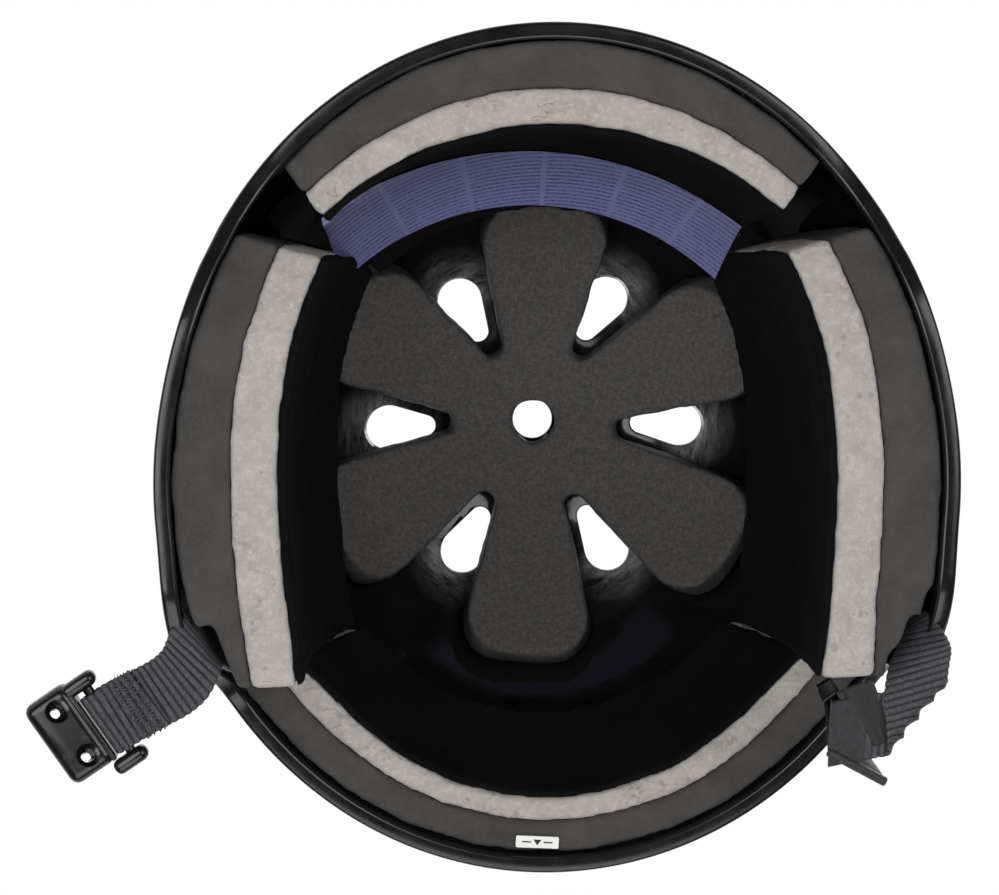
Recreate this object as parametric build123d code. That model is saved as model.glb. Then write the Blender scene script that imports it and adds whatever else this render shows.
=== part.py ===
from build123d import *
from math import atan, cos, degrees, radians, sin, tan
import os

# A hard-shell skate and water helmet standing on the rims of its ear lobes.
# Millimetres. +Z is up through the crown, -Y is the wearer's front, +X is the wearer's left.
# The origin is on the floor, under the middle of the head opening.

# Outer form of the shell
half_width = 119.5
front_reach = 137.0
rear_reach = 132.0
crown_height = 172.0
belt_height = 30.0
fullness_share = 0.6
shell_wall = 3.0

# Rim seen from the side: brow, ear lobes and nape
brow_height = 58.0
nape_height = 18.0
lobe_front = 67.0
lobe_rear = 50.0
nape_start = 86.0
brow_corner_radius = 14.0
lobe_corner_radius = 34.0
nape_corner_radius = 60.0

# Vents and the crown hole
vent_count = 6
vent_wide_radius = 7.8
vent_narrow_radius = 3.7
vent_wide_reach = 51.2
vent_narrow_reach = 38.3
crown_hole_radius = 7.0
crown_hole_back = 1.5

# Rim trim, a U section over the shell's cut edge
trim_wall = 1.0
trim_web = 1.2
trim_cover = 7.0

# Pads: the gap that their discs fill, the lift over the rim and the gap between neighbours
fixing_gap = 1.3
pad_lift = 3.0
pad_end_gap = 1.0

# Side pads: layers at the middle, their thinner rear ends, and the two slanted end lines in plan
side_dark = 18.0
side_light = 14.0
side_lining = 3.0
side_dark_end = 3.0
side_light_end = 9.0
side_lining_end = 2.2
side_front_reach = 195.0
side_pad_top = 97.0
side_end_front = 63.3
side_end_rear = 66.5
side_end_reach = 78.4
side_front_slope_share = 0.136
side_rear_slope_share = 0.255
side_crown_share = 0.65

# Rear pad
rear_dark = 14.3
rear_light = 10.6
rear_lining = 2.6
rear_ease_share = 0.57
rear_crown_drop = 20.0
rear_pad_top = 92.0
rear_end_half = 68.5
rear_end_back = 75.2
rear_end_slope_share = 0.79

# Brow pad
brow_dark = 10.0
brow_light = 7.4
brow_lining = 2.5
brow_ease_share = 0.88
brow_pad_top = 104.0

# Crown pad, a flower with a notch under each vent
crown_pad_thickness = 10.0
petal_reach = 77.0
petal_corner_radius = 12.0
petal_turn = 3.0
notch_reach = 27.5
notch_half_width = 2.6
notch_slope_share = 0.28
notch_root_radius = 2.4
pad_hole_radius = 7.6

# Hook and loop discs that hold the pads
disc_radius = 11.0
disc_height = 62.0
brow_disc_height = 80.0
disc_spread = 31.0
crown_disc_reach = 55.0

# Blank label strip on the rear lining: half width, end and middle of its two long edges in plan
label_thickness = 0.25
label_glue = 0.05
label_near_half = 66.0
label_near_end = 71.5
label_near_back = 94.8
label_far_half = 61.0
label_far_end = 53.0
label_far_back = 78.0
label_end_gap = 1.0

# Blank tag under the brow pad
tag_length = 16.8
tag_width = 5.0
tag_thickness = 0.3
tag_corner_radius = 1.0
tag_side = 2.8
tag_inward = 3.7

# Strap webbing, and the pocket between shell and side pad that it comes out of
strap_width = 20.0
strap_thickness = 1.5
floor_gap = 0.3
strap_gap = 0.3
root_front = 56.0
strap_wall_gap = 3.2
strap_turn = 28.0
anchor_top = 48.0
pocket_depth = 3.8
pocket_side_gap = 1.5
pocket_top = 66.0

# Left strap, outwards along the floor from its root under the rim
bar_reach = 36.0
rise_start = 9.0
rise_end = 14.0
ply_part_reach = 26.0
crest_reach = 33.5
return_end = 15.5
webbing_bend = 4.0
tack_start = 17.6
tack_end = 24.4
tack_bar_count = 5
tack_bar_width = 0.9
tack_bar_height = 0.2
tack_side_gap = 1.2

# Female buckle half
bar_radius = 1.6
female_ear_length = 10.5
female_ear_width = 4.2
female_ear_height = 6.4
female_body_width = 25.6
female_body_length = 13.6
female_body_height = 9.4
female_body_gap = 0.6
female_corner_radius = 4.5
female_edge_radius = 1.2
socket_width = 20.4
socket_height = 5.4
socket_wall = 1.6
window_length = 5.4
window_width = 4.0
window_reach = 6.0
window_side = 8.4
side_slot_reach = 6.7
side_slot_length = 4.6
side_slot_height = 4.2

# Right strap's first run on the floor: its corners, out from its root and along it
run_rear_out = 5.1
run_rear_along = 12.4
run_outer_out = 12.0
run_outer_along = 4.9
crease_back_out = 9.5
crease_back_along = 5.1
crease_tip_out = 3.3
crease_tip_along = 29.2
run_inner_out = 1.0
run_inner_along = 14.0

# Right strap's second run, which turns up along a bend line and over the buckle's bar
riser_in = 11.2
riser_front = 22.5
riser_turn = 36.9
riser_bend = 1.8
male_bar_height = 16.0
tail_drop = 7.5
tail_flare = 3.2
tail_foot = 2.6
hem_radius = 1.4

# Male buckle half, standing on its strap bar in front of the right side pad
male_lean = 4.0
male_width = 24.0
male_rail_width = 1.6
male_rail_below = 4.0
male_thickness = 5.6
male_base_start = 6.5
male_base_length = 6.0
male_edge_radius = 0.6
guide_width = 4.6
guide_length = 10.5
guide_thickness = 3.6
prong_root_gap = 0.3
prong_thickness = 4.8
prong_arm_width = 2.4
prong_arm_out = 9.8
prong_shoulder = 4.5
prong_barb_out = 11.0
prong_press_out = 11.3
prong_press_middle = 7.0
prong_press_end = 9.2
prong_press_end_out = 10.2
prong_tip_out = 7.6
prong_head_in = 5.4
prong_head_start = 6.2
prong_length = 11.4

# Strap rivets
rivet_height = 41.0
rivet_along = 3.5
rivet_shank_radius = 2.0
rivet_hole_gap = 0.1
rivet_head_radius = 4.8
rivet_head_sink = 1.9
rivet_head_height = 3.2
rivet_dome_radius = 1.6
rivet_washer_radius = 5.5
rivet_washer_thickness = 0.8
rivet_tail_radius = 3.4
rivet_tail_height = 1.0

# One overrun for all cuts
overrun = 20.0

# Worked out from the sizes above: where a strap's root lies, how far it turns to follow the wall
# there, the two levels of its plies on the floor, and the loop that it makes round a bar
pad_inset = shell_wall + fixing_gap
inner_half = half_width - shell_wall
inner_front = front_reach - shell_wall
wall_reach = inner_half * (1 - (root_front / inner_front) ** 2) ** 0.5
root_reach = wall_reach - strap_wall_gap
root_turn = degrees(atan((root_front / inner_front**2) / (wall_reach / inner_half**2)))
first_ply = floor_gap + strap_thickness / 2
second_ply = first_ply + strap_thickness
loop_radius = bar_radius + strap_gap + strap_thickness / 2
bar_height = first_ply + loop_radius
rivet_seat = strap_wall_gap * cos(radians(root_turn)) + shell_wall - rivet_head_sink
base_end = male_base_start + male_base_length


def mirrored(shape):
    """The same piece on the wearer's right."""
    return mirror(shape, about=Plane.YZ)


def single(shape):
    """The largest solid of a cut, without slivers beside it."""
    return max(shape.solids(), key=lambda solid: solid.volume)


def half_dome(side, end, top):
    """Half of a dome over an oval: `side` across, `end` along Y and `top` high."""
    rise = top - belt_height
    with BuildPart() as body:
        with BuildSketch(Plane.XZ):
            with BuildLine():
                Polyline((0, top), (0, -overrun), (side, -overrun), (side, belt_height))
                Bezier(
                    (side, belt_height),
                    (side, belt_height + fullness_share * rise),
                    (fullness_share * side, top),
                    (0, top),
                )
            make_face()
        revolve(axis=Axis.Z, revolution_arc=180)
    shape = scale(body.part, by=(1, end / side, 1))
    return shape if shape.center().Y > 0 else mirror(shape, about=Plane.XZ)


def dome(side, front, rear, top):
    """Full dome, with its own reach to the front and to the rear."""
    return half_dome(side, rear, top) + mirror(half_dome(side, front, top), about=Plane.XZ)


def inset_dome(inset):
    """The shell's outer form, drawn in by `inset` all over."""
    return dome(half_width - inset, front_reach - inset, rear_reach - inset, crown_height - inset)


def rim_block(lift):
    """Everything above the rim line, with the line moved `lift` into the shell."""
    shift = lift * tan(atan(nape_height / (nape_start - lobe_rear)) / 2)
    top = crown_height + overrun
    far = front_reach + overrun
    brow = brow_height + lift
    nape = nape_height + lift
    with BuildPart() as block:
        with BuildSketch(Plane.YZ):
            with BuildLine():
                FilletPolyline(
                    (-far, brow),
                    (-lobe_front + lift, brow),
                    (-lobe_front + lift, lift),
                    (lobe_rear - shift, lift),
                    (nape_start - shift, nape),
                    (far, nape),
                    radius=[
                        brow_corner_radius + lift,
                        lobe_corner_radius - lift,
                        nape_corner_radius - lift,
                        nape_corner_radius + lift,
                    ],
                )
                Polyline((far, nape), (far, top), (-far, top), (-far, brow))
            make_face()
        extrude(amount=half_width + overrun, both=True)
    return block.part


def prism(plane, points, low, high):
    """Straight prism over an outline drawn on a plane."""
    with BuildPart() as block:
        with BuildSketch(plane.offset(low)):
            Polygon(*points, align=None)
        extrude(amount=high - low)
    return block.part


def slug(plane, radius, low, high):
    """Round slug along a plane's Z."""
    with BuildPart() as body:
        with BuildSketch(plane.offset(low)):
            Circle(radius)
        extrude(amount=high - low)
    return body.part


def ribbon(plane, edges):
    """Webbing of even thickness along a side profile, spread to both sides of the plane."""
    outline = Wire(edges).offset_2d(strap_thickness / 2, side=Side.BOTH)
    return extrude(plane * Face(outline), amount=strap_width / 2, both=True)


def root_frame(turn, height):
    """Plane at the left strap's root: X outwards, Y along the root, Z up."""
    outwards = (cos(radians(turn)), -sin(radians(turn)), 0)
    return Plane(origin=(root_reach, -root_front, height), x_dir=outwards, z_dir=(0, 0, 1))


def side_view(frame):
    """The frame's side view: X stays and Y becomes up."""
    return Plane(origin=frame.origin, x_dir=frame.x_dir, z_dir=-frame.y_dir)


def rivet_frame():
    """Plane at the middle of the webbing, with Z out through the shell along the rivet."""
    frame = root_frame(root_turn, rivet_height)
    place = frame.from_local_coords(Vector(0, rivet_along, 0))
    return Plane(origin=place, x_dir=(0, 0, 1), z_dir=frame.x_dir)


def vent_cutter():
    """Teardrops with their narrow ends inwards, and the crown hole."""
    with BuildSketch() as drop:
        with BuildLine():
            CenterArc((vent_wide_reach, 0), vent_wide_radius, 0, 360)
            CenterArc((vent_narrow_reach, 0), vent_narrow_radius, 0, 360)
        make_hull()
    tear = extrude(drop.sketch, amount=crown_height + overrun)
    cutter = slug(Plane(origin=(0, crown_hole_back, 0)), crown_hole_radius, 0, crown_height + overrun)
    for step in range(vent_count):
        cutter += Rot(0, 0, 360 / vent_count * step) * tear
    return cutter


def rivet_cutter():
    """Hole for the rivet's shank and the round seat for its head."""
    hole = slug(rivet_frame(), rivet_shank_radius + rivet_hole_gap, -overrun, overrun)
    return hole + slug(rivet_frame(), rivet_head_radius + rivet_hole_gap, rivet_seat, overrun)


def shell_wall_block():
    """The wall before its holes."""
    return (inset_dome(0) & rim_block(trim_web)) - inset_dome(shell_wall)


def make_shell():
    return single(shell_wall_block() - vent_cutter() - rivet_cutter() - mirrored(rivet_cutter()))


def make_rim_trim():
    """A band thicker than the shell on both sides, with the shell's wall taken out of it."""
    band = (inset_dome(-trim_wall) & rim_block(0)) - rim_block(trim_cover)
    return single(band - inset_dome(shell_wall + trim_wall) - shell_wall_block())


def side_face(thickness, end_thickness):
    """Face of a side pad's layer: nearly straight to the front, drawn in to the rear and the top."""
    return dome(
        half_width - pad_inset - thickness,
        side_front_reach,
        rear_reach - pad_inset - end_thickness,
        crown_height - pad_inset - thickness * side_crown_share,
    )


def eased_face(thickness, ease_share, drop):
    """Face of a rear or brow pad's layer, nearer to the shell at its two ends."""
    inset = pad_inset + thickness
    return dome(
        half_width - inset * ease_share,
        front_reach - inset,
        rear_reach - inset,
        crown_height - inset - drop,
    )


def side_region():
    """Plan of the left pad, between its slanted front and rear ends."""
    near = side_end_reach / 2
    far = half_width + overrun
    points = []
    for reach in (near, far):
        points.append((reach, -side_end_front - (reach - side_end_reach) * side_front_slope_share))
    for reach in (far, near):
        points.append((reach, side_end_rear + (reach - side_end_reach) * side_rear_slope_share))
    return prism(Plane.XY, points, 0, side_pad_top) - rear_region(pad_end_gap)


def rear_region(gap):
    """Plan of the rear pad between its two slanted ends, widened by a gap."""
    near = rear_end_back / 2
    far = rear_reach + overrun
    half_near = rear_end_half + (near - rear_end_back) * rear_end_slope_share + gap
    half_far = rear_end_half + (far - rear_end_back) * rear_end_slope_share + gap
    points = [(-half_near, near), (half_near, near), (half_far, far), (-half_far, far)]
    return prism(Plane.XY, points, 0, crown_height)


def brow_region():
    """Plan of the brow pad, in front of the side pads' front ends."""
    far = half_width + overrun
    deep = -front_reach - overrun
    middle = -side_end_front - pad_end_gap + side_end_reach * side_front_slope_share
    end = middle - far * side_front_slope_share
    points = [(0, middle), (far, end), (far, deep), (-far, deep), (-far, end)]
    return prism(Plane.XY, points, 0, brow_pad_top)


def layers(faces, block):
    """The solids between each face and the next, inside a block."""
    return [single((outer & block) - inner) for outer, inner in zip(faces, faces[1:])]


def side_pad_block():
    """Above the rim, but square at the lobe's round front corner, as the pad is cut straight."""
    front = -lobe_front + pad_lift
    rear = -lobe_front + lobe_corner_radius
    far = half_width + overrun
    corner = prism(Plane.XY, [(0, front), (far, front), (far, rear), (0, rear)], pad_lift, lobe_corner_radius)
    return side_region() & (rim_block(pad_lift) + corner)


def pocket():
    """Room in the left pad for the strap's upright end and its rivet."""
    far = pocket_top
    rear = strap_width / 2 + pocket_side_gap
    points = [(-pocket_depth, -far), (far, -far), (far, rear), (-pocket_depth, rear)]
    return prism(root_frame(root_turn, 0), points, 0, pocket_top)


def make_side_pad():
    faces = [
        inset_dome(pad_inset),
        side_face(side_dark, side_dark_end),
        side_face(side_dark + side_light, side_dark_end + side_light_end),
        side_face(
            side_dark + side_light + side_lining,
            side_dark_end + side_light_end + side_lining_end,
        ),
    ]
    outer, middle, lining = layers(faces, side_pad_block())
    return [single(outer - pocket()), middle, lining]


def make_rear_pad():
    depths = [rear_dark, rear_dark + rear_light, rear_dark + rear_light + rear_lining]
    faces = [eased_face(depth, rear_ease_share, rear_crown_drop) for depth in depths]
    far = rear_reach + overrun
    top = prism(Plane.XY, [(-far, 0), (far, 0), (far, far), (-far, far)], 0, rear_pad_top)
    return layers([inset_dome(pad_inset), *faces], rear_region(0) & top & rim_block(pad_lift))


def make_brow_pad():
    depths = [brow_dark, brow_dark + brow_light, brow_dark + brow_light + brow_lining]
    faces = [eased_face(depth, brow_ease_share, 0) for depth in depths]
    return layers([inset_dome(pad_inset), *faces], brow_region() & rim_block(pad_lift))


def make_crown_pad():
    """Round petals between tapered notches, a little turned, bent to the inside of the crown."""
    far = petal_reach + overrun
    far_half = notch_half_width + (far - notch_reach) * notch_slope_share
    notch = [
        (notch_reach, -notch_half_width),
        (far, -far_half),
        (far, far_half),
        (notch_reach, notch_half_width),
    ]
    with BuildSketch() as plan:
        Circle(petal_reach)
        with PolarLocations(0, vent_count, start_angle=petal_turn):
            Polygon(*notch, align=None, mode=Mode.SUBTRACT)
        corners = plan.vertices().group_by(lambda corner: round(corner.center().length))
        fillet(corners[-1], petal_corner_radius)
        fillet(corners[0], notch_root_radius)
        with Locations((0, crown_hole_back)):
            Circle(pad_hole_radius, mode=Mode.SUBTRACT)
    flower = extrude(plan.sketch, amount=crown_height)
    return single((inset_dome(pad_inset) & flower) - inset_dome(pad_inset + crown_pad_thickness))


def disc_posts():
    """A round post for each disc: two behind every outer pad and one behind every petal."""
    places = []
    for side in (disc_spread, -disc_spread):
        places.append(Plane(origin=(0, side, disc_height), z_dir=(1, 0, 0)))
        places.append(Plane(origin=(0, side, disc_height), z_dir=(-1, 0, 0)))
        places.append(Plane(origin=(side, 0, disc_height), z_dir=(0, 1, 0)))
        places.append(Plane(origin=(side, 0, brow_disc_height), z_dir=(0, -1, 0)))
    for step in range(vent_count):
        turn = radians(360 / vent_count * (step + 1 / 2))
        places.append(Plane(origin=(crown_disc_reach * cos(turn), crown_disc_reach * sin(turn), 0)))
    return [slug(place, disc_radius, 0, crown_height) for place in places]


def make_discs(near, far):
    """One disc on each post, between two insets of the shell."""
    outer, inner = inset_dome(near), inset_dome(far)
    return Compound([single((post & outer) - inner) for post in disc_posts()])


def make_label():
    """Arched strip on the rear lining, between two arcs in plan."""
    near_end, far_end = (label_near_half, label_near_end), (label_far_half, label_far_end)
    near_start, far_start = (-label_near_half, label_near_end), (-label_far_half, label_far_end)
    with BuildSketch() as plan:
        with BuildLine():
            ThreePointArc(near_start, (0, label_near_back), near_end)
            Line(near_end, far_end)
            ThreePointArc(far_end, (0, label_far_back), far_start)
            Line(far_start, near_start)
        make_face()
    band = extrude(plan.sketch, amount=rear_pad_top) & rear_region(-label_end_gap)
    depth = rear_dark + rear_light + rear_lining + label_glue
    face = eased_face(depth, rear_ease_share, rear_crown_drop)
    return single((face & band) - eased_face(depth + label_thickness, rear_ease_share, rear_crown_drop))


def make_tag():
    """Small plate under the dark foam of the brow pad."""
    front = front_reach - pad_inset - brow_dark / 2 - tag_inward
    with BuildPart() as tag:
        with BuildSketch(Plane(origin=(tag_side, -front, brow_height + pad_lift - tag_thickness))):
            RectangleRounded(tag_length, tag_width, tag_corner_radius)
        extrude(amount=tag_thickness)
    return tag.part


def make_anchor():
    """Upright end of a strap in its pocket, down to just above the part that swings."""
    half = strap_width / 2
    thick = strap_thickness / 2
    points = [(-thick, -half), (thick, -half), (thick, half), (-thick, half)]
    foot = floor_gap + strap_thickness + strap_gap
    upright = prism(root_frame(root_turn, 0), points, foot, anchor_top)
    return upright - slug(rivet_frame(), rivet_shank_radius + rivet_hole_gap, -overrun, overrun)


def make_rivet():
    """Shank from the tail inside the webbing to the domed head in its seat."""
    frame = rivet_frame()
    inside = -strap_thickness / 2 - rivet_washer_thickness
    shank = slug(frame, rivet_shank_radius, inside, rivet_seat)
    tail = slug(frame, rivet_tail_radius, inside - rivet_tail_height, inside)
    head = slug(frame, rivet_head_radius, rivet_seat, rivet_seat + rivet_head_height)
    head = fillet(head.edges().sort_by(Axis(frame.origin, frame.z_dir))[-1], rivet_dome_radius)
    return single(shank + tail + head)


def make_rivet_spacer():
    """Sleeve from the webbing to the shell's inside."""
    frame = rivet_frame()
    sleeve = slug(frame, rivet_washer_radius, strap_thickness / 2, overrun)
    hole = slug(frame, rivet_shank_radius + rivet_hole_gap, 0, overrun)
    return single((sleeve & inset_dome(shell_wall)) - hole)


def make_rivet_washer():
    frame = rivet_frame()
    inside = -strap_thickness / 2
    disc = slug(frame, rivet_washer_radius, inside - rivet_washer_thickness, inside)
    return disc - slug(frame, rivet_shank_radius + rivet_hole_gap, -overrun, overrun)


def both_sides(shape):
    """The piece and its mirror image as one group."""
    return Compound([*shape.solids(), *mirrored(shape).solids()])


def make_left_strap():
    """Out under the rim, over the buckle's bar and back underneath, where it is sewn."""
    crest = bar_height + loop_radius
    way_out = FilletPolyline(
        (0, first_ply),
        (rise_start, first_ply),
        (rise_end, second_ply),
        (ply_part_reach, second_ply),
        (crest_reach, crest),
        (bar_reach, crest),
        radius=webbing_bend,
    )
    turn = ThreePointArc((bar_reach, crest), (bar_reach + loop_radius, bar_height), (bar_reach, first_ply))
    way_back = Line((bar_reach, first_ply), (return_end, first_ply))
    side = side_view(root_frame(strap_turn, 0))
    return single(ribbon(side, way_out.edges()) + ribbon(side, [*turn.edges(), *way_back.edges()]))


def make_left_stitching():
    """Bars of thread across the sewn plies, on both faces."""
    frame = root_frame(strap_turn, 0)
    half = strap_width / 2 - tack_side_gap
    pitch = (tack_end - tack_start) / (tack_bar_count - 1)
    over = floor_gap + 2 * strap_thickness
    bars = []
    for step in range(tack_bar_count):
        start = tack_start + pitch * step - tack_bar_width / 2
        end = start + tack_bar_width
        points = [(start, -half), (end, -half), (end, half), (start, half)]
        bars.append(prism(frame, points, floor_gap - tack_bar_height, floor_gap).solid())
        bars.append(prism(frame, points, over, over + tack_bar_height).solid())
    return Compound(bars)


def make_female_buckle():
    """Box with a socket, press windows and two ears that carry the bar."""
    frame = root_frame(strap_turn, floor_gap)
    inner = bar_reach + loop_radius + strap_thickness / 2 + female_body_gap
    middle = inner + female_body_length / 2
    half = female_body_width / 2
    ear_side = strap_width / 2 + strap_gap + female_ear_width / 2
    ear_reach = inner - (female_ear_length - female_ear_width) / 2
    bar_place = frame.from_local_coords(Vector(bar_reach, 0, bar_height - floor_gap))
    with BuildPart() as buckle:
        with BuildSketch(frame):
            with Locations((middle, 0)):
                Rectangle(female_body_length, female_body_width)
        extrude(amount=female_body_height)
        uprights = buckle.edges().filter_by(Axis.Z)
        fillet(uprights.sort_by(Axis(frame.origin, frame.x_dir))[-2:], female_corner_radius)
        fillet(buckle.faces().filter_by(Axis.Z).edges(), female_edge_radius)
        with BuildSketch(frame):
            with Locations((ear_reach, ear_side), (ear_reach, -ear_side)):
                SlotOverall(female_ear_length + female_ear_width, female_ear_width)
        extrude(amount=female_ear_height)
        with BuildSketch(Plane(origin=bar_place, z_dir=frame.y_dir)):
            Circle(bar_radius)
        extrude(amount=ear_side, both=True)
        with BuildSketch(frame.offset(female_body_height / 2)):
            with Locations((inner + socket_wall + female_body_length / 2, 0)):
                Rectangle(female_body_length, socket_width)
        extrude(amount=socket_height / 2, both=True, mode=Mode.SUBTRACT)
        with BuildSketch(frame.offset(female_body_height / 2)):
            with Locations((inner + window_reach, window_side), (inner + window_reach, -window_side)):
                SlotOverall(window_length, window_width)
        extrude(amount=female_body_height, both=True, mode=Mode.SUBTRACT)
        with BuildSketch(frame.offset(female_body_height / 2)):
            with Locations((inner + side_slot_reach, half), (inner + side_slot_reach, -half)):
                Rectangle(side_slot_length, (half - window_side) * 2)
        extrude(amount=side_slot_height / 2, both=True, mode=Mode.SUBTRACT)
    return buckle.part


def riser_frame(height):
    """Plane at the middle of the bend line: X back to the strap's fold, Y along the bend, Z up."""
    direction = (cos(radians(riser_turn)), sin(radians(riser_turn)), 0)
    place = (root_reach - riser_in, -root_front - riser_front, height)
    return Plane(origin=place, x_dir=direction, z_dir=(0, 0, 1))


def in_plan(frame, out, along):
    """A point of the plan from its place on a frame."""
    place = frame.from_local_coords(Vector(out, along, 0))
    return (place.X, place.Y)


def make_right_strap():
    """Along the floor, folded on a slanted crease, then up and over the buckle's bar to the hem."""
    root = root_frame(root_turn, 0)
    bend = riser_frame(0)
    half = strap_width / 2
    tip = in_plan(root, crease_tip_out, -crease_tip_along)
    back = in_plan(root, crease_back_out, -crease_back_along)
    first = [
        in_plan(root, 0, half),
        in_plan(root, 0, -half),
        in_plan(root, -run_inner_out, -run_inner_along),
        tip,
        back,
        in_plan(root, run_outer_out, run_outer_along),
        in_plan(root, run_rear_out, run_rear_along),
    ]
    second = [back, in_plan(bend, riser_bend, half), tip, in_plan(bend, riser_bend, -half)]
    first_run = prism(Plane.XY, first, floor_gap, floor_gap + strap_thickness)
    second_run = prism(Plane.XY, second, floor_gap + strap_thickness, floor_gap + 2 * strap_thickness)
    knuckle_place = root.from_local_coords(Vector(0, 0, first_ply))
    knuckle = slug(Plane(origin=knuckle_place, z_dir=root.y_dir), strap_thickness / 2, -half, half)
    drop = -2 * loop_radius
    riser = FilletPolyline(
        (riser_bend + strap_thickness, second_ply),
        (0, second_ply),
        (0, male_bar_height),
        radius=riser_bend,
    )
    turn = ThreePointArc(
        (0, male_bar_height),
        (-loop_radius, male_bar_height + loop_radius),
        (drop, male_bar_height),
    )
    tail = FilletPolyline(
        (drop, male_bar_height),
        (drop, tail_drop),
        (drop - tail_flare, tail_foot),
        radius=webbing_bend,
    )
    raised = ribbon(side_view(bend), [*riser.edges(), *turn.edges(), *tail.edges()])
    hem_place = bend.from_local_coords(Vector(drop - tail_flare, 0, tail_foot))
    hem = slug(Plane(origin=hem_place, z_dir=bend.y_dir), hem_radius, -half, half)
    return mirrored(single(first_run + second_run + knuckle + raised + hem))


def male_plate():
    """Plane of the male half's own face: X along its bar, Y up the buckle, Z through it."""
    bend = riser_frame(male_bar_height)
    origin = bend.from_local_coords(Vector(-loop_radius, 0, 0))
    through = bend.x_dir * cos(radians(male_lean)) - Vector(0, 0, sin(radians(male_lean)))
    return Plane(origin=origin, x_dir=bend.y_dir, z_dir=through)


def make_male_body():
    """Base with its rails, the bar between them and the middle guide."""
    plate = male_plate()
    half = male_width / 2
    rail_side = half - male_rail_width / 2
    rail_length = base_end + male_rail_below
    rail_middle = (base_end - male_rail_below) / 2
    with BuildPart() as body:
        with BuildSketch(plate):
            with Locations((0, (male_base_start + base_end) / 2)):
                RectangleRounded(male_width, male_base_length, male_rail_width / 2)
            with Locations((rail_side, rail_middle), (-rail_side, rail_middle)):
                SlotOverall(rail_length, male_rail_width, rotation=90)
        extrude(amount=male_thickness / 2, both=True)
        fillet(body.faces().filter_by(Axis(plate.origin, plate.z_dir)).edges(), male_edge_radius)
        with BuildSketch(plate):
            with Locations((0, base_end + (guide_length - guide_width) / 2)):
                SlotOverall(guide_length + guide_width, guide_width, rotation=90)
        extrude(amount=guide_thickness / 2, both=True)
        with BuildSketch(Plane(origin=plate.origin, z_dir=plate.x_dir)):
            Circle(bar_radius)
        extrude(amount=rail_side, both=True)
    return mirrored(body.part)


def make_prong():
    """Flexing arm with a barbed shoulder, a rounded press face and a tip."""
    root = base_end + prong_root_gap
    inner = prong_arm_out - prong_arm_width
    press_start = (prong_barb_out, root + prong_shoulder)
    press_end = (prong_press_end_out, root + prong_press_end)
    with BuildPart() as prong:
        with BuildSketch(male_plate()):
            with BuildLine():
                Polyline((inner, root), (prong_arm_out, root), (prong_arm_out, root + prong_shoulder), press_start)
                ThreePointArc(press_start, (prong_press_out, root + prong_press_middle), press_end)
                Polyline(
                    press_end,
                    (prong_tip_out, root + prong_length),
                    (prong_head_in, root + prong_length),
                    (prong_head_in, root + prong_head_start),
                    (inner, root + prong_shoulder),
                    (inner, root),
                )
            make_face()
        extrude(amount=prong_thickness / 2, both=True)
    return prong.part


def make_prongs():
    """The prong on the bar's rear end and the one on its front end, on the wearer's right."""
    plate = male_plate()
    rear = make_prong()
    middle = Plane(origin=plate.origin, z_dir=plate.x_dir)
    return mirrored(rear), single(mirrored(mirror(rear, about=middle)))


nodes = {
    "shell": make_shell(),
    "rim_trim": make_rim_trim(),
    "crown_pad": make_crown_pad(),
    "pad_hook_discs": make_discs(shell_wall, shell_wall + fixing_gap / 2),
    "pad_loop_discs": make_discs(shell_wall + fixing_gap / 2, pad_inset),
    "label_strip": make_label(),
    "front_tag": make_tag(),
    "left_strap_anchor": make_anchor(),
    "right_strap_anchor": mirrored(make_anchor()),
    "strap_rivets": both_sides(make_rivet()),
    "rivet_spacers": both_sides(make_rivet_spacer()),
    "rivet_washers": both_sides(make_rivet_washer()),
    "left_strap": make_left_strap(),
    "left_strap_stitching": make_left_stitching(),
    "female_buckle": make_female_buckle(),
    "right_strap": make_right_strap(),
    "male_buckle_body": make_male_body(),
}
nodes["male_prong_rear"], nodes["male_prong_front"] = make_prongs()
side_pad = make_side_pad()
pads = {
    "rear_pad": make_rear_pad(),
    "brow_pad": make_brow_pad(),
    "left_pad": side_pad,
    "right_pad": [mirrored(layer) for layer in side_pad],
}
for name, pad in pads.items():
    for layer, solid in zip(("outer", "middle", "lining"), pad):
        nodes[f"{name}_{layer}"] = solid

os.makedirs("parts", exist_ok=True)
for name, shape in nodes.items():
    export_step(shape, f"parts/{name}.step")
    print(name, round(shape.volume), shape.is_valid)
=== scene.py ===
# %% [markdown]
# # A skate and water helmet, seen from below
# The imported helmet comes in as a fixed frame: every piece of it already lies in its place, in
# metres. Pieces whose shape is right keep it and get a finish. Foam, webbing, the moulded shell,
# its trim and the buckle half that shows are modelled again here, where fine form shows, and
# stand for their plain solids.

# %% Load the fixed frame
import math

import bmesh
import bpy
import numpy as np
from mathutils import Matrix, Vector, noise


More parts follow.
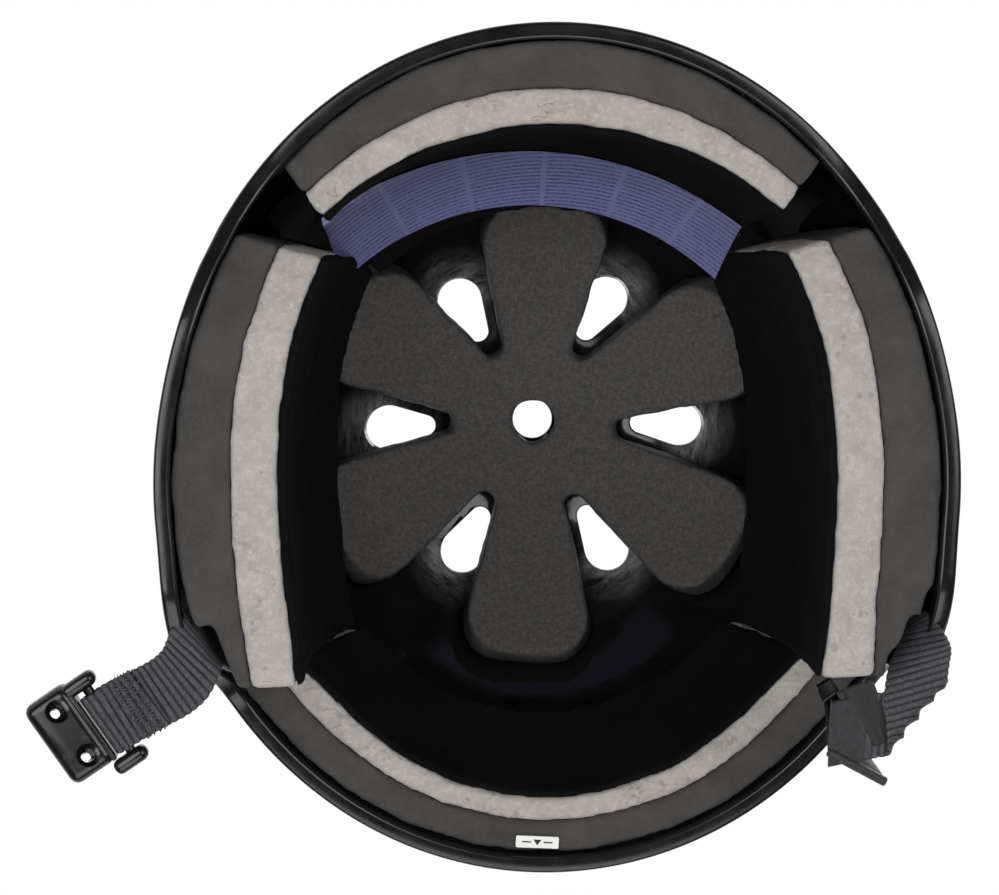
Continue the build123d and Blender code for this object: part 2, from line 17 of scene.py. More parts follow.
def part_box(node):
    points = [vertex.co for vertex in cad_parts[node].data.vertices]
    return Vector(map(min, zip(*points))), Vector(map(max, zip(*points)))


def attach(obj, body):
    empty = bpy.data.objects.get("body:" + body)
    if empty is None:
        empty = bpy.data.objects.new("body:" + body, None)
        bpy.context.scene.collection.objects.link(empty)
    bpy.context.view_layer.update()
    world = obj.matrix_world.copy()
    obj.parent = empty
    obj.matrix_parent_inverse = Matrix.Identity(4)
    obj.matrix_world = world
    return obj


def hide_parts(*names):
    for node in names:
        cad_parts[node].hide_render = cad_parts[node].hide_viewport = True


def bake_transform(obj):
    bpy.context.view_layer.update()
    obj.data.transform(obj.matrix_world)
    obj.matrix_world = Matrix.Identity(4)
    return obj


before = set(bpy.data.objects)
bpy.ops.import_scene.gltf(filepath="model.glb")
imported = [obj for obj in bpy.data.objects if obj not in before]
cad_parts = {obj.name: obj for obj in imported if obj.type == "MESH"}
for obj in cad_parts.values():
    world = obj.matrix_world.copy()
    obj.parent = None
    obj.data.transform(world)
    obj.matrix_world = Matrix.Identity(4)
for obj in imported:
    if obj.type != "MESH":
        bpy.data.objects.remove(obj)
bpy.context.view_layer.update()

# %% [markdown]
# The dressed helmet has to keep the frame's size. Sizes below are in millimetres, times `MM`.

MM = 0.001

# %% [markdown]
# ## The camera
# The helmet was photographed from below, with its brow at the foot of the picture, from about
# 80 cm. The lens is a short telephoto, so the deep bowl narrows only a little. The picture is
# turned by about half a degree, so the camera's own axes are turned by that much before they go
# into its matrix.

# %% Place the camera
CAMERA_PLACE = Vector((45, 85, -800)) * MM
CAMERA_AIM = Vector((17.6, 7.6, 0)) * MM
CAMERA_ROLL = math.radians(0.6)
LENS_MM = 98.2


def add_camera():
    """A camera under the helmet, with its up side towards the nape."""
    forward = (CAMERA_AIM - CAMERA_PLACE).normalized()
    right = forward.cross(Vector((0, 1, 0))).normalized()
    up = right.cross(forward)
    turned_right = right * math.cos(CAMERA_ROLL) - up * math.sin(CAMERA_ROLL)
    turned_up = up * math.cos(CAMERA_ROLL) + right * math.sin(CAMERA_ROLL)
    camera = bpy.data.objects.new("camera", bpy.data.cameras.new("camera"))
    bpy.context.scene.collection.objects.link(camera)
    camera.data.lens = LENS_MM
    axes = Matrix((turned_right, turned_up, -forward)).transposed().to_4x4()
    camera.matrix_world = Matrix.Translation(CAMERA_PLACE) @ axes
    bpy.context.scene.camera = camera
    return camera


camera = add_camera()
bpy.context.scene.view_settings.view_transform = "Standard"
print("camera", [round(v, 3) for v in camera.location])

# %% [markdown]
# ## Nodes for finishes
# Each finish is a Principled shader fed by noise in Object coordinates, so that its grain stays
# on the piece when the piece moves. These small helpers add one node each and wire it in.

# %% Helpers that build a finish
def new_finish(name, roughness, **sockets):
    """A material with a Principled shader, and its point in Object coordinates."""
    material = bpy.data.materials.new(name)
    material.use_nodes = True
    shader = material.node_tree.nodes["Principled BSDF"]
    shader.inputs["Roughness"].default_value = roughness
    for socket, value in sockets.items():
        shader.inputs[socket.replace("_", " ")].default_value = value
    coordinates = material.node_tree.nodes.new("ShaderNodeTexCoord")
    return material, shader, coordinates.outputs["Object"]


def add_node(material, kind, inputs=(), **settings):
    """One node with its settings, and with links or values on its inputs."""
    node = material.node_tree.nodes.new(kind)
    for key, value in settings.items():
        setattr(node, key, value)
    for key, value in dict(inputs).items():
        if isinstance(value, bpy.types.NodeSocket):
            material.node_tree.links.new(value, node.inputs[key])
        else:
            node.inputs[key].default_value = value
    return node


def stretched(material, point, scale):
    """The point scaled by three factors, so that grain runs along one axis."""
    return add_node(material, "ShaderNodeMapping", {"Vector": point, "Scale": scale}).outputs[0]


def speckle(material, point, scale, detail=4, roughness=0.6):
    inputs = {"Vector": point, "Scale": scale, "Detail": detail, "Roughness": roughness}
    return add_node(material, "ShaderNodeTexNoise", inputs).outputs["Fac"]


def cells(material, point, scale, feature="F1"):
    inputs = {"Vector": point, "Scale": scale}
    return add_node(material, "ShaderNodeTexVoronoi", inputs, feature=feature).outputs["Distance"]


def ranged(material, value, low, high, to_low=0.0, to_high=1.0):
    """A value moved from one range to another, and held inside it."""
    inputs = {"Value": value, "From Min": low, "From Max": high, "To Min": to_low, "To Max": to_high}
    return add_node(material, "ShaderNodeMapRange", inputs).outputs[0]


def sums(material, operation, first, second=0.0):
    """One step of arithmetic on two links or numbers."""
    return add_node(material, "ShaderNodeMath", {0: first, 1: second}, operation=operation).outputs[0]


def blended(material, factor, first, second):
    """Two colours, links or values, mixed by a factor."""
    inputs = {0: factor, 6: first, 7: second}
    return add_node(material, "ShaderNodeMix", inputs, data_type="RGBA").outputs[2]


def grey(level, warmth=0.0):
    """A near-black or grey colour, a little warm where warmth is above zero."""
    return (level * (1 + warmth), level, level * (1 - warmth), 1)


def raised(material, shader, height, distance, strength=1.0):
    """Bump from a height of zero to one, over a real distance in metres."""
    inputs = {"Height": height, "Distance": distance, "Strength": strength}
    bump = add_node(material, "ShaderNodeBump", inputs)
    material.node_tree.links.new(bump.outputs[0], shader.inputs["Normal"])


def wire(material, shader, **links):
    for socket, value in links.items():
        material.node_tree.links.new(value, shader.inputs[socket.replace("_", " ")])


print("helpers ready")

# %% [markdown]
# ## Finishes of the hard pieces
# The shell is gloss black ABS: nearly even, with a faint orange peel, hairline scuffs and some
# dust. Around the vents the real one is scuffed nearly white where the holes were trimmed, so
# the shell carries an attribute that says how near a vent edge each point lies.

# %% Gloss plastics
def shell_finish():
    material, shader, point = new_finish("shell_gloss_abs", 0.1, IOR=1.5)
    dust = ranged(material, speckle(material, point, 60, 6), 0.45, 0.75)
    hairlines = speckle(material, stretched(material, point, (40, 900, 300)), 1, 3)
    scratches = ranged(material, hairlines, 0.66, 0.74)
    near_vent = add_node(material, "ShaderNodeAttribute", attribute_name="scuff").outputs["Fac"]
    smears = speckle(material, stretched(material, point, (60, 60, 420)), 1, 8, 0.75)
    scuff = sums(material, "MULTIPLY", near_vent, ranged(material, smears, 0.36, 0.64))
    black = blended(material, dust, grey(0.006), grey(0.009))
    worn = blended(material, sums(material, "MULTIPLY", scuff, 0.9), black, grey(0.3))
    rough = sums(material, "ADD", ranged(material, dust, 0, 1, 0.07, 0.16),
                 sums(material, "MULTIPLY", scratches, 0.12))
    rough = sums(material, "MAXIMUM", rough, sums(material, "MULTIPLY", scuff, 0.6))
    wire(material, shader, Base_Color=worn, Roughness=rough)
    peel = speckle(material, point, 330, 2)
    raised(material, shader, sums(material, "ADD", peel, scuff), 0.00005, 0.35)
    return material


def buckle_finish():
    material, shader, point = new_finish("buckle_acetal", 0.22)
    grain = speckle(material, point, 900, 5)
    rub = ranged(material, speckle(material, point, 160, 6, 0.7), 0.55, 0.75)
    tone = blended(material, rub, grey(0.006, 0.02), grey(0.016, 0.03))
    wire(material, shader, Base_Color=tone, Roughness=ranged(material, rub, 0, 1, 0.19, 0.34))
    raised(material, shader, grain, 0.00003, 0.4)
    return material


def trim_finish():
    material, shader, point = new_finish("trim_soft_pvc", 0.2)
    smear = speckle(material, stretched(material, point, (90, 90, 500)), 1, 4)
    tone = blended(material, smear, grey(0.0055), grey(0.0095))
    wire(material, shader, Base_Color=tone, Roughness=ranged(material, smear, 0.3, 0.7, 0.13, 0.26))
    raised(material, shader, speckle(material, point, 1500, 3), 0.00002, 0.3)
    return material


shell_abs, acetal, soft_pvc = shell_finish(), buckle_finish(), trim_finish()
print("gloss plastics", shell_abs.name, acetal.name, soft_pvc.name)

# %% [markdown]
# ## Finishes of the foam
# The pads are laminated closed-cell foam, cut to shape, so their cut faces show. The dark foam is
# an even fine-celled EVA with faint cut streaks. The pale one is coarser: mottled, pitted and
# crackled. The lining is a thin brushed knit that takes up nearly all light. The crown pad is a
# moulded sheet with a mottled skin on its face, and its upright cut walls are painted darker as shade.

# %% Foams and lining
def dark_foam_finish():
    material, shader, point = new_finish("dark_eva_foam", 0.92)
    mottle = speckle(material, point, 70, 7, 0.65)
    cell = cells(material, point, 1500)
    streak = speckle(material, stretched(material, point, (60, 60, 1400)), 1, 4, 0.6)
    tone = blended(material, ranged(material, mottle, 0.3, 0.7), grey(0.031, 0.06), grey(0.060, 0.06))
    light = sums(material, "MULTIPLY", ranged(material, cell, 0.1, 0.8), 0.3)
    tone = blended(material, light, tone, grey(0.085, 0.05))
    wire(material, shader, Base_Color=tone)
    height = sums(material, "ADD", cell, sums(material, "MULTIPLY", streak, 1.3))
    raised(material, shader, height, 0.00022, 0.5)
    return material


def light_foam_finish():
    """Mottled and pitted, with thin cracks in patches."""
    material, shader, point = new_finish("pale_crackled_foam", 0.9)
    mottle = speckle(material, point, 130, 8, 0.7)
    fine = speckle(material, point, 520, 5, 0.7)
    folds = speckle(material, stretched(material, point, (55, 75, 75)), 1, 7, 0.6)
    vein = sums(material, "ABSOLUTE", sums(material, "SUBTRACT", folds, 0.5))
    patch = ranged(material, speckle(material, point, 45, 3), 0.50, 0.66)
    crack = sums(material, "MULTIPLY", ranged(material, vein, 0.0, 0.008, 1.0, 0.0), patch)
    dent = ranged(material, speckle(material, point, 210, 4, 0.5), 0.66, 0.72)
    shade, plain, crest = (0.355, 0.325, 0.30, 1), (0.465, 0.432, 0.405, 1), (0.53, 0.50, 0.475, 1)
    tone = blended(material, ranged(material, mottle, 0.3, 0.7), shade, plain)
    tone = blended(material, ranged(material, fine, 0.5, 0.75), tone, crest)
    faint_crack = sums(material, "MULTIPLY", crack, 0.6)
    worn = sums(material, "MAXIMUM", faint_crack, sums(material, "MULTIPLY", dent, 0.4))
    wire(material, shader, Base_Color=blended(material, worn, tone, (0.15, 0.125, 0.11, 1)))
    swell = sums(material, "ADD", mottle, fine)
    height = sums(material, "SUBTRACT", swell, sums(material, "MULTIPLY", worn, 1.6))
    raised(material, shader, height, 0.00055, 0.6)
    return material


def lining_finish():
    material, shader, point = new_finish("brushed_lining", 1.0, Specular_IOR_Level=0.1)
    fibre = speckle(material, stretched(material, point, (900, 900, 350)), 1, 5, 0.7)
    nap = speckle(material, point, 45, 4)
    tone = blended(material, ranged(material, nap, 0.35, 0.7), grey(0.0035), grey(0.006))
    wire(material, shader, Base_Color=tone)
    raised(material, shader, fibre, 0.0002, 0.6)
    return material


def crown_foam_finish():
    material, shader, point = new_finish("crown_foam_skin", 0.8)
    skin = speckle(material, point, 700, 6, 0.8)
    grain = speckle(material, point, 1500, 4, 0.8)
    side = add_node(material, "ShaderNodeAttribute", attribute_name="cut").outputs["Fac"]
    tone = blended(material, ranged(material, skin, 0.38, 0.64), grey(0.05, 0.07), grey(0.115, 0.06))
    tone = blended(material, ranged(material, grain, 0.58, 0.72), tone, grey(0.2, 0.05))
    # Painted shade: the upright cut walls, marked by the attribute, are painted near-black.
    tone = blended(material, sums(material, "MULTIPLY", side, 0.95), tone, grey(0.012, 0.08))
    wire(material, shader, Base_Color=tone)
    raised(material, shader, sums(material, "ADD", skin, grain), 0.0004, 0.7)
    return material


dark_eva, pale_foam = dark_foam_finish(), light_foam_finish()
knit, crown_skin = lining_finish(), crown_foam_finish()
print("foams", dark_eva.name, pale_foam.name, knit.name, crown_skin.name)

# %% [markdown]
# ## Finishes of webbing, thread and small parts
# The webbing's ribs are real geometry, so its finish only adds the yarn, fine threads with a soft
# shine, and painted shade: near-black in the grooves between the ribs, where hardly any light gets
# in, and dark on plain webbing. Tape, lacquer, nylon and steel are plain finishes with a little grain, for
# pieces that hardly show.

# %% Webbing, tape, metal
def webbing_finish(name="black_webbing", tint=(0.026, 0.025, 0.031, 1)):
    """Yarn with a soft shine. An attribute says where shade is painted: in the grooves between the ribs, and
    on plain webbing.
    """
    material, shader, point = new_finish(name, 0.55, Sheen_Weight=0.15, Sheen_Roughness=0.4)
    yarn = speckle(material, stretched(material, point, (1500, 700, 1500)), 1, 4, 0.6)
    fuzz = ranged(material, speckle(material, point, 2400, 4, 0.7), 0.6, 0.75)
    painted_shade = add_node(material, "ShaderNodeAttribute", attribute_name="painted_shade").outputs["Fac"]
    lit = tuple(3.2 * v for v in tint[:3]) + (1,)
    tone = blended(material, ranged(material, yarn, 0.35, 0.7), tint, lit)
    tone = blended(material, sums(material, "MULTIPLY", fuzz, 0.3), tone, grey(0.13))
    # Painted shade: the mask turns the webbing near-black in its rib grooves and dark on plain webbing.
    wire(material, shader, Base_Color=blended(material, painted_shade, tone, grey(0.002)))
    raised(material, shader, yarn, 0.00018, 0.7)
    return material


def tape_finish(name, scale):
    material, shader, point = new_finish(name, 0.9, Sheen_Weight=0.3)
    hooks = cells(material, point, scale)
    tone = blended(material, ranged(material, hooks, 0.1, 0.6), grey(0.022), grey(0.008))
    wire(material, shader, Base_Color=tone)
    raised(material, shader, hooks, 0.0005, 0.7)
    return material


def lacquer_finish():
    material, shader, point = new_finish("black_lacquer", 0.3)
    chip = ranged(material, speckle(material, point, 700, 5, 0.7), 0.66, 0.7)
    wire(material, shader, Base_Color=blended(material, chip, grey(0.013), grey(0.12)),
         Roughness=ranged(material, speckle(material, point, 300, 3), 0.3, 0.7, 0.18, 0.4))
    raised(material, shader, speckle(material, point, 1200, 2), 0.00002, 0.4)
    return material


def nylon_finish():
    material, shader, point = new_finish("black_nylon", 0.5)
    grain = speckle(material, point, 1100, 4)
    wire(material, shader, Base_Color=blended(material, grain, grey(0.016), grey(0.028)))
    raised(material, shader, grain, 0.00005, 0.5)
    return material


def steel_finish():
    material, shader, point = new_finish("plated_steel", 0.3, Metallic=1.0)
    brush = speckle(material, stretched(material, point, (300, 300, 3000)), 1, 3)
    wire(material, shader, Base_Color=blended(material, brush, grey(0.42), grey(0.6)),
         Roughness=ranged(material, brush, 0.3, 0.7, 0.22, 0.4))
    raised(material, shader, brush, 0.00002, 0.3)
    return material


webbing, thread = webbing_finish(), webbing_finish("black_thread", (0.02, 0.02, 0.024, 1))
# Painted shade: the riser, flap and tail lie in shadow, so this webbing's tint is painted darker.
shade_painted_webbing = webbing_finish("smooth_shade_painted_webbing", (0.009, 0.009, 0.010, 1))
hook_tape, loop_tape = tape_finish("hook_tape", 900), tape_finish("loop_tape", 1700)
lacquer, nylon, steel = lacquer_finish(), nylon_finish(), steel_finish()
print("small parts", webbing.name, thread.name, lacquer.name)

# %% [markdown]
# The label is a film with fine ruled lines in blocks. They follow its two arcs, so they come
# from the distance to the arcs' common middle, and the blocks from the turn about it. The tag is
# white woven tape with a black mark, and its weave is a pattern of small cells.

# %% Label film with ruled lines, and the woven tag
LABEL_CENTRE_BACK = -9.6 * MM
LABEL_LINE_PITCH = 1.15 * MM
LABEL_BLOCK_TURN = math.radians(14.5)


def stripes(material, value, edge, full):
    """1 in the middle of each whole step of a value, and 0 round its ends."""
    middle = sums(material, "ABSOLUTE", sums(material, "SUBTRACT", sums(material, "FRACT", value), 0.5))
    return ranged(material, middle, edge, full, 1.0, 0.0)


def label_finish():
    """Fine dark rules on a blue-violet film, broken into blocks."""
    material, shader, point = new_finish("label_film", 0.4)
    inputs = {"Vector": point, "Location": (0, -LABEL_CENTRE_BACK, 0)}
    centred = add_node(material, "ShaderNodeMapping", inputs).outputs[0]
    parts = add_node(material, "ShaderNodeSeparateXYZ", {"Vector": centred})
    across, back = parts.outputs["X"], parts.outputs["Y"]
    squares = [sums(material, "MULTIPLY", way, way) for way in (across, back)]
    reach = sums(material, "SQRT", sums(material, "ADD", *squares))
    turn = sums(material, "ARCTAN2", across, back)
    rule = stripes(material, sums(material, "DIVIDE", reach, LABEL_LINE_PITCH), 0.12, 0.30)
    block = stripes(material, sums(material, "DIVIDE", turn, LABEL_BLOCK_TURN), 0.462, 0.47)
    fade = ranged(material, speckle(material, point, 900, 4, 0.8), 0.40, 0.58, 0.15, 0.8)
    ink = sums(material, "MULTIPLY", sums(material, "MULTIPLY", rule, block), fade)
    film = blended(material, speckle(material, point, 30, 3), (0.15, 0.16, 0.34, 1), (0.19, 0.20, 0.41, 1))
    rough = ranged(material, speckle(material, point, 120, 3), 0.3, 0.7, 0.3, 0.5)
    wire(material, shader, Base_Color=blended(material, ink, film, (0.022, 0.024, 0.04, 1)), Roughness=rough)
    raised(material, shader, speckle(material, point, 90, 3), 0.0002, 0.3)
    return material


def tag_finish(name, tone):
    material, shader, point = new_finish(name, 0.8)
    weave = cells(material, stretched(material, point, (2200, 1400, 1400)), 1)
    light = tuple(min(1.0, 1.08 * v) for v in tone[:3]) + (1,)
    wire(material, shader, Base_Color=blended(material, weave, tone, light))
    raised(material, shader, weave, 0.00008, 0.6)
    return material


label_film, white_weave = label_finish(), tag_finish("white_woven_tag", (0.82, 0.83, 0.79, 1))
black_weave = tag_finish("black_woven_mark", (0.02, 0.02, 0.02, 1))
print("label and tag", label_film.name, white_weave.name)

# %% [markdown]
# ## The dome
# The helmet's outside is a half oval turned about the crown. Its outline is one Bezier curve from
# the belt up to the crown, and every layer inside it is the same dome drawn in a little. So two
# numbers describe a place on it: how high it is, and how far in from the shell.

# %% Measures of the dome
SIDE_REACH, FRONT_REACH, REAR_REACH = 119.5 * MM, 137 * MM, 132 * MM
CROWN_HEIGHT, BELT_HEIGHT, FULLNESS = 172 * MM, 30 * MM, 0.6
SHELL_WALL = 3 * MM
PAD_INSET = 4.3 * MM


def dome_outline(top, steps):
    """Shares of the full reach and heights, from the belt to the top."""
    t = np.linspace(0, 1, steps)
    rise = top - BELT_HEIGHT
    share = (1 - t) ** 3 + 3 * (1 - t) ** 2 * t + 3 * FULLNESS * (1 - t) * t**2
    height = BELT_HEIGHT + 3 * (1 - t) ** 2 * t * FULLNESS * rise + (3 * (1 - t) * t**2 + t**3) * rise
    return share, height


def share_at(height, out=0.0):
    """Share of its full reach that the dome has at a height, `out` metres outside the shell."""
    share, rise = dome_outline(CROWN_HEIGHT + out, 800)
    return np.interp(height, rise, share)


def height_at(share, out=0.0):
    outline_share, rise = dome_outline(CROWN_HEIGHT + out, 800)
    return np.interp(share, outline_share[::-1], rise[::-1])


def side_at(y, z, out=0.0):
    """How far to the side the dome reaches at a place of its side view."""
    share = share_at(z, out)
    end = np.where(y > 0, REAR_REACH, FRONT_REACH) + out
    return (SIDE_REACH + out) * np.sqrt(np.clip(share**2 - (y / end) ** 2, 0, None))


print("dome at brow height", round(float(share_at(58 * MM)), 4))

# %% [markdown]
# The real helmet isn't quite an oval in plan: it is fuller at its front corners and slimmer
# behind the ears. So the shell, and whatever touches it, is spread or drawn in sideways by a few
# millimetres. How far depends on the place along the helmet, and fades out towards the inside.

# %% Fuller front corners, slimmer rear sides
FULLER_FRONT_SHARE, FULLER_START, FULLER_RUN = 0.058, -15 * MM, 60 * MM
SLIMMER_REAR_SHARE, SLIMMER_MIDDLE, SLIMMER_REACH = 0.016, 40 * MM, 40 * MM


def spread_at(y, front=1.0):
    """Share by which the shell is spread sideways at a place along the helmet."""
    ahead = np.clip((FULLER_START - y) / FULLER_RUN, 0, 1)
    fuller = front * FULLER_FRONT_SHARE * ahead**2 * (3 - 2 * ahead)
    return fuller - SLIMMER_REAR_SHARE * np.exp(-(((y - SLIMMER_MIDDLE) / SLIMMER_REACH) ** 2))


def depth_in_dome(places):
    """How near each place is to the shell's outside: 1 on it, and less towards the head."""
    end = np.where(places[:, 1] > 0, REAR_REACH, FRONT_REACH)
    return np.hypot(places[:, 0] / SIDE_REACH, places[:, 1] / end) / share_at(places[:, 2])


def fitted(piece, start=0.84, full=0.95, front=1.0):
    """Moves a piece's points with the shell, as far as they lie near it."""
    places = np.array([v.co for v in piece.data.vertices])
    near = np.clip((depth_in_dome(places) - start) / (full - start), 0, 1)
    places[:, 0] *= 1 + near * spread_at(places[:, 1], front)
    piece.data.vertices.foreach_set("co", places.ravel())
    piece.data.update()
    return piece


print("spread at the lobe's front corner", round(float(spread_at(np.array(-67 * MM))), 3))

# %% [markdown]
# ## From a bmesh to a piece
# A piece is made as a bmesh, written to a mesh, shaded smooth with its sharp edges kept, and
# linked. Where modifiers finish it, their result is written back, so that no modifier stays.

# %% Helpers for pieces
def points_of(bm):
    return np.array([v.co for v in bm.verts], float).reshape(-1, 3)


def move_points(bm, places):
    for vertex, place in zip(bm.verts, places):
        vertex.co = place


def piece_from(name, bm, *materials, sharp=40):
    """Writes a bmesh to a new object, smooth except across edges sharper than `sharp` degrees."""
    mesh = bpy.data.meshes.new(name)
    bm.to_mesh(mesh)
    bm.free()
    for material in materials:
        mesh.materials.append(material)
    mesh.shade_smooth()
    mesh.set_sharp_from_angle(angle=math.radians(sharp))
    piece = bpy.data.objects.new(name, mesh)
    bpy.context.scene.collection.objects.link(piece)
    return piece


def bake_modifiers(piece, sharp=40):
    """Writes the result of a piece's modifiers to its mesh."""
    evaluated = piece.evaluated_get(bpy.context.evaluated_depsgraph_get())
    mesh = bpy.data.meshes.new_from_object(evaluated)
    piece.modifiers.clear()
    piece.data = mesh
    mesh.shade_smooth()
    mesh.set_sharp_from_angle(angle=math.radians(sharp))
    return piece


def cut_with(piece, cutter, operation):
    """Boolean with another piece, which is then thrown away."""
    modifier = piece.modifiers.new("cut", "BOOLEAN")
    modifier.object, modifier.operation, modifier.solver = cutter, operation, "EXACT"
    bake_modifiers(piece)
    bpy.data.objects.remove(cutter)
    return piece


def extruded(bm, outline, way):
    """A solid grown from a flat outline along a vector."""
    face = bm.faces.new([bm.verts.new(place) for place in outline])
    grown = bmesh.ops.extrude_face_region(bm, geom=[face])
    moved = [v for v in grown["geom"] if isinstance(v, bmesh.types.BMVert)]
    bmesh.ops.translate(bm, verts=moved, vec=way)


def grid(along, across, place, painted_shade=None):
    """A grid of quads, each point put where `place` says for its two shares. Seams are merged."""
    bm = bmesh.new()
    bmesh.ops.create_grid(bm, x_segments=along, y_segments=across, size=0.5)
    flat = points_of(bm)
    shares = np.round(flat[:, 0] + 0.5, 7), np.round(flat[:, 1] + 0.5, 7)
    if painted_shade:
        layer = bm.verts.layers.float.new("painted_shade")
        for vertex, value in zip(bm.verts, painted_shade(shares[0])):
            vertex[layer] = value
    move_points(bm, place(*shares))
    bmesh.ops.remove_doubles(bm, verts=bm.verts, dist=1e-7)
    return bm


def dress(piece, body, slot, *nodes):
    """Says what the piece rides on and which solids it stands for. Its slot is not used."""
    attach(piece, body)
    if nodes:
        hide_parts(*nodes)
    return piece


print("piece helpers ready")

# %% [markdown]
# ## The rim line
# Seen from the side, the helmet's edge runs level over the nape, drops to the ear lobe, stays
# flat on the table, and climbs steeply to the brow. It is made of straight stretches and arcs.
# Each of its points also keeps the direction that leads into the shell, so the same line serves
# for the shell's cut, a little further in, and for the trim's whole section.

# %% Walk along the rim
BROW_HEIGHT, NAPE_HEIGHT = 58 * MM, 18 * MM
LOBE_FRONT, LOBE_REAR, NAPE_START = 67 * MM, 50 * MM, 86 * MM
BROW_RADIUS, LOBE_RADIUS, NAPE_RADIUS = 14 * MM, 34 * MM, 60 * MM
RIM_STEP = 1.3 * MM


def rim_line():
    """Rows of y, z, the inward direction, and the share of the way to the front or rear middle."""
    slope = math.atan2(NAPE_HEIGHT, NAPE_START - LOBE_REAR)
    tangent = NAPE_RADIUS * math.tan(slope / 2)
    rows = []

    def arc(y, z, radius, start, end, sign):
        for turn in np.linspace(start, end, max(3, int(abs(end - start) * radius / RIM_STEP))):
            way = np.array((math.cos(turn), math.sin(turn)))
            rows.append((y + radius * way[0], z + radius * way[1], *(sign * way), 0))

    def end_run(y, z, steps):
        for turn in np.linspace(0, math.pi / 2, steps)[1:]:
            rows.append((y, z, 0, 1, math.sin(turn)))

    quarter = math.pi / 2
    end_run(NAPE_START + tangent, NAPE_HEIGHT, 70)
    rows.reverse()
    arc(NAPE_START + tangent, NAPE_HEIGHT - NAPE_RADIUS, NAPE_RADIUS, quarter, quarter + slope, 1)
    arc(LOBE_REAR - tangent, NAPE_RADIUS, NAPE_RADIUS, slope - quarter, -quarter, -1)
    lobe = LOBE_FRONT - LOBE_RADIUS
    for y in np.arange(LOBE_REAR - tangent - RIM_STEP, -lobe, -RIM_STEP):
        rows.append((y, 0, 0, 1, 0))
    arc(-lobe, LOBE_RADIUS, LOBE_RADIUS, -quarter, -2 * quarter, -1)
    for z in np.arange(LOBE_RADIUS + RIM_STEP, BROW_HEIGHT - BROW_RADIUS, RIM_STEP):
        rows.append((-LOBE_FRONT, z, 1, 0, 0))
    arc(-LOBE_FRONT - BROW_RADIUS, BROW_HEIGHT - BROW_RADIUS, BROW_RADIUS, 0, quarter, 1)
    end_run(-LOBE_FRONT - BROW_RADIUS, BROW_HEIGHT, 90)
    return np.array(rows)


def rim_places(rows, height, out):
    """Places on the wearer's left, `height` into the shell from the rim and `out` from its face."""
    y, z, in_y, in_z, way = rows.T
    z = z + height * in_z
    y = y + height * in_y
    end = np.where(y > 0, REAR_REACH + out, -FRONT_REACH - out) * share_at(z, out)
    y = y + (end - y) * way
    return np.stack([side_at(y, z, out) * (1 + spread_at(y)), y, z], 1)


rim = rim_line()
print("rim line of", len(rim), "points on each side")

# %% [markdown]
# ## The shell
# The real shell is one injection moulding. A lathe-like spin of the dome's outline gives an even
# skin of quads, which is stretched to its own front and rear reach and given its wall. The rim,
# the vents and the rivet seats are then cut with Boolean tools, as a router would cut them.

# %% Spin the dome and give it its wall
SPIN_STEPS = 192
DOME_ROWS = 64
BELOW_BELT = np.array((-12, -2, 8, 18)) * MM
TRIM_WEB = 1.2 * MM


def spun_dome():
    share, height = dome_outline(CROWN_HEIGHT, DOME_ROWS)
    rows = [(SIDE_REACH, z) for z in BELOW_BELT]
    rows += [(SIDE_REACH * s, z) for s, z in zip(share, height)]
    bm = bmesh.new()
    outline = [bm.verts.new((x, 0, z)) for x, z in rows]
    edges = [bm.edges.new(pair) for pair in zip(outline, outline[1:])]
    bmesh.ops.spin(bm, geom=outline + edges, cent=(0, 0, 0), axis=(0, 0, 1), dvec=(0, 0, 0),
                   angle=2 * math.pi, steps=SPIN_STEPS, use_merge=True, use_duplicate=False)
    bmesh.ops.remove_doubles(bm, verts=bm.verts, dist=1e-6)
    places = points_of(bm)
    places[:, 1] *= np.where(places[:, 1] > 0, REAR_REACH, FRONT_REACH) / SIDE_REACH
    places[:, 0] *= 1 + spread_at(places[:, 1])
    move_points(bm, places)
    bmesh.ops.recalc_face_normals(bm, faces=bm.faces)
    return bm


shell = piece_from("outer_shell", spun_dome(), shell_abs)
wall = shell.modifiers.new("wall", "SOLIDIFY")
wall.thickness, wall.offset, wall.use_even_offset = SHELL_WALL, -1, True
bake_modifiers(shell)
print("spun shell", len(shell.data.polygons), "faces")

# %% [markdown]
# The real edge was routed after moulding. One prism across the helmet, as tall as all that lies
# above the rim line, keeps that part of the dome on both sides in one cut.

# %% Cut the rim
FAR = 0.2


def rim_cutter():
    """Everything above the rim line, as a prism across the helmet."""
    rows = rim[rim[:, 4] == 0]
    outline = [(y + TRIM_WEB * a, z + TRIM_WEB * b) for y, z, a, b, _ in rows]
    outline += [(-FAR, BROW_HEIGHT + TRIM_WEB), (-FAR, FAR), (FAR, FAR), (FAR, NAPE_HEIGHT + TRIM_WEB)]
    bm = bmesh.new()
    extruded(bm, [(-FAR, y, z) for y, z in outline], (2 * FAR, 0, 0))
    bmesh.ops.recalc_face_normals(bm, faces=bm.faces)
    return piece_from("rim_cutter", bm)


cut_with(shell, rim_cutter(), "INTERSECT")
print("shell after the rim cut", len(shell.data.polygons), "faces")

# %% [markdown]
# Each vent is a teardrop: a wide arc and a narrow arc joined by their tangents. Its edges are
# broken by a small flare on both faces. So the cutter is a stack of the same outline, wider where
# it passes the shell's outer and inner face, and it follows the dome's height point by point.

# %% Cut the vents and the crown hole
VENT_COUNT = 6
VENT_WIDE = (51.2 * MM, 7.8 * MM)
VENT_NARROW = (38.3 * MM, 3.7 * MM)
CROWN_HOLE = (1.5 * MM, 7 * MM)
FLARE_HEIGHTS = (-9, -3.3, -2.7, -0.5, 0.1, 6)
FLARE_WIDTHS = (0.7, 0.7, 0.0, 0.0, 0.6, 0.6)


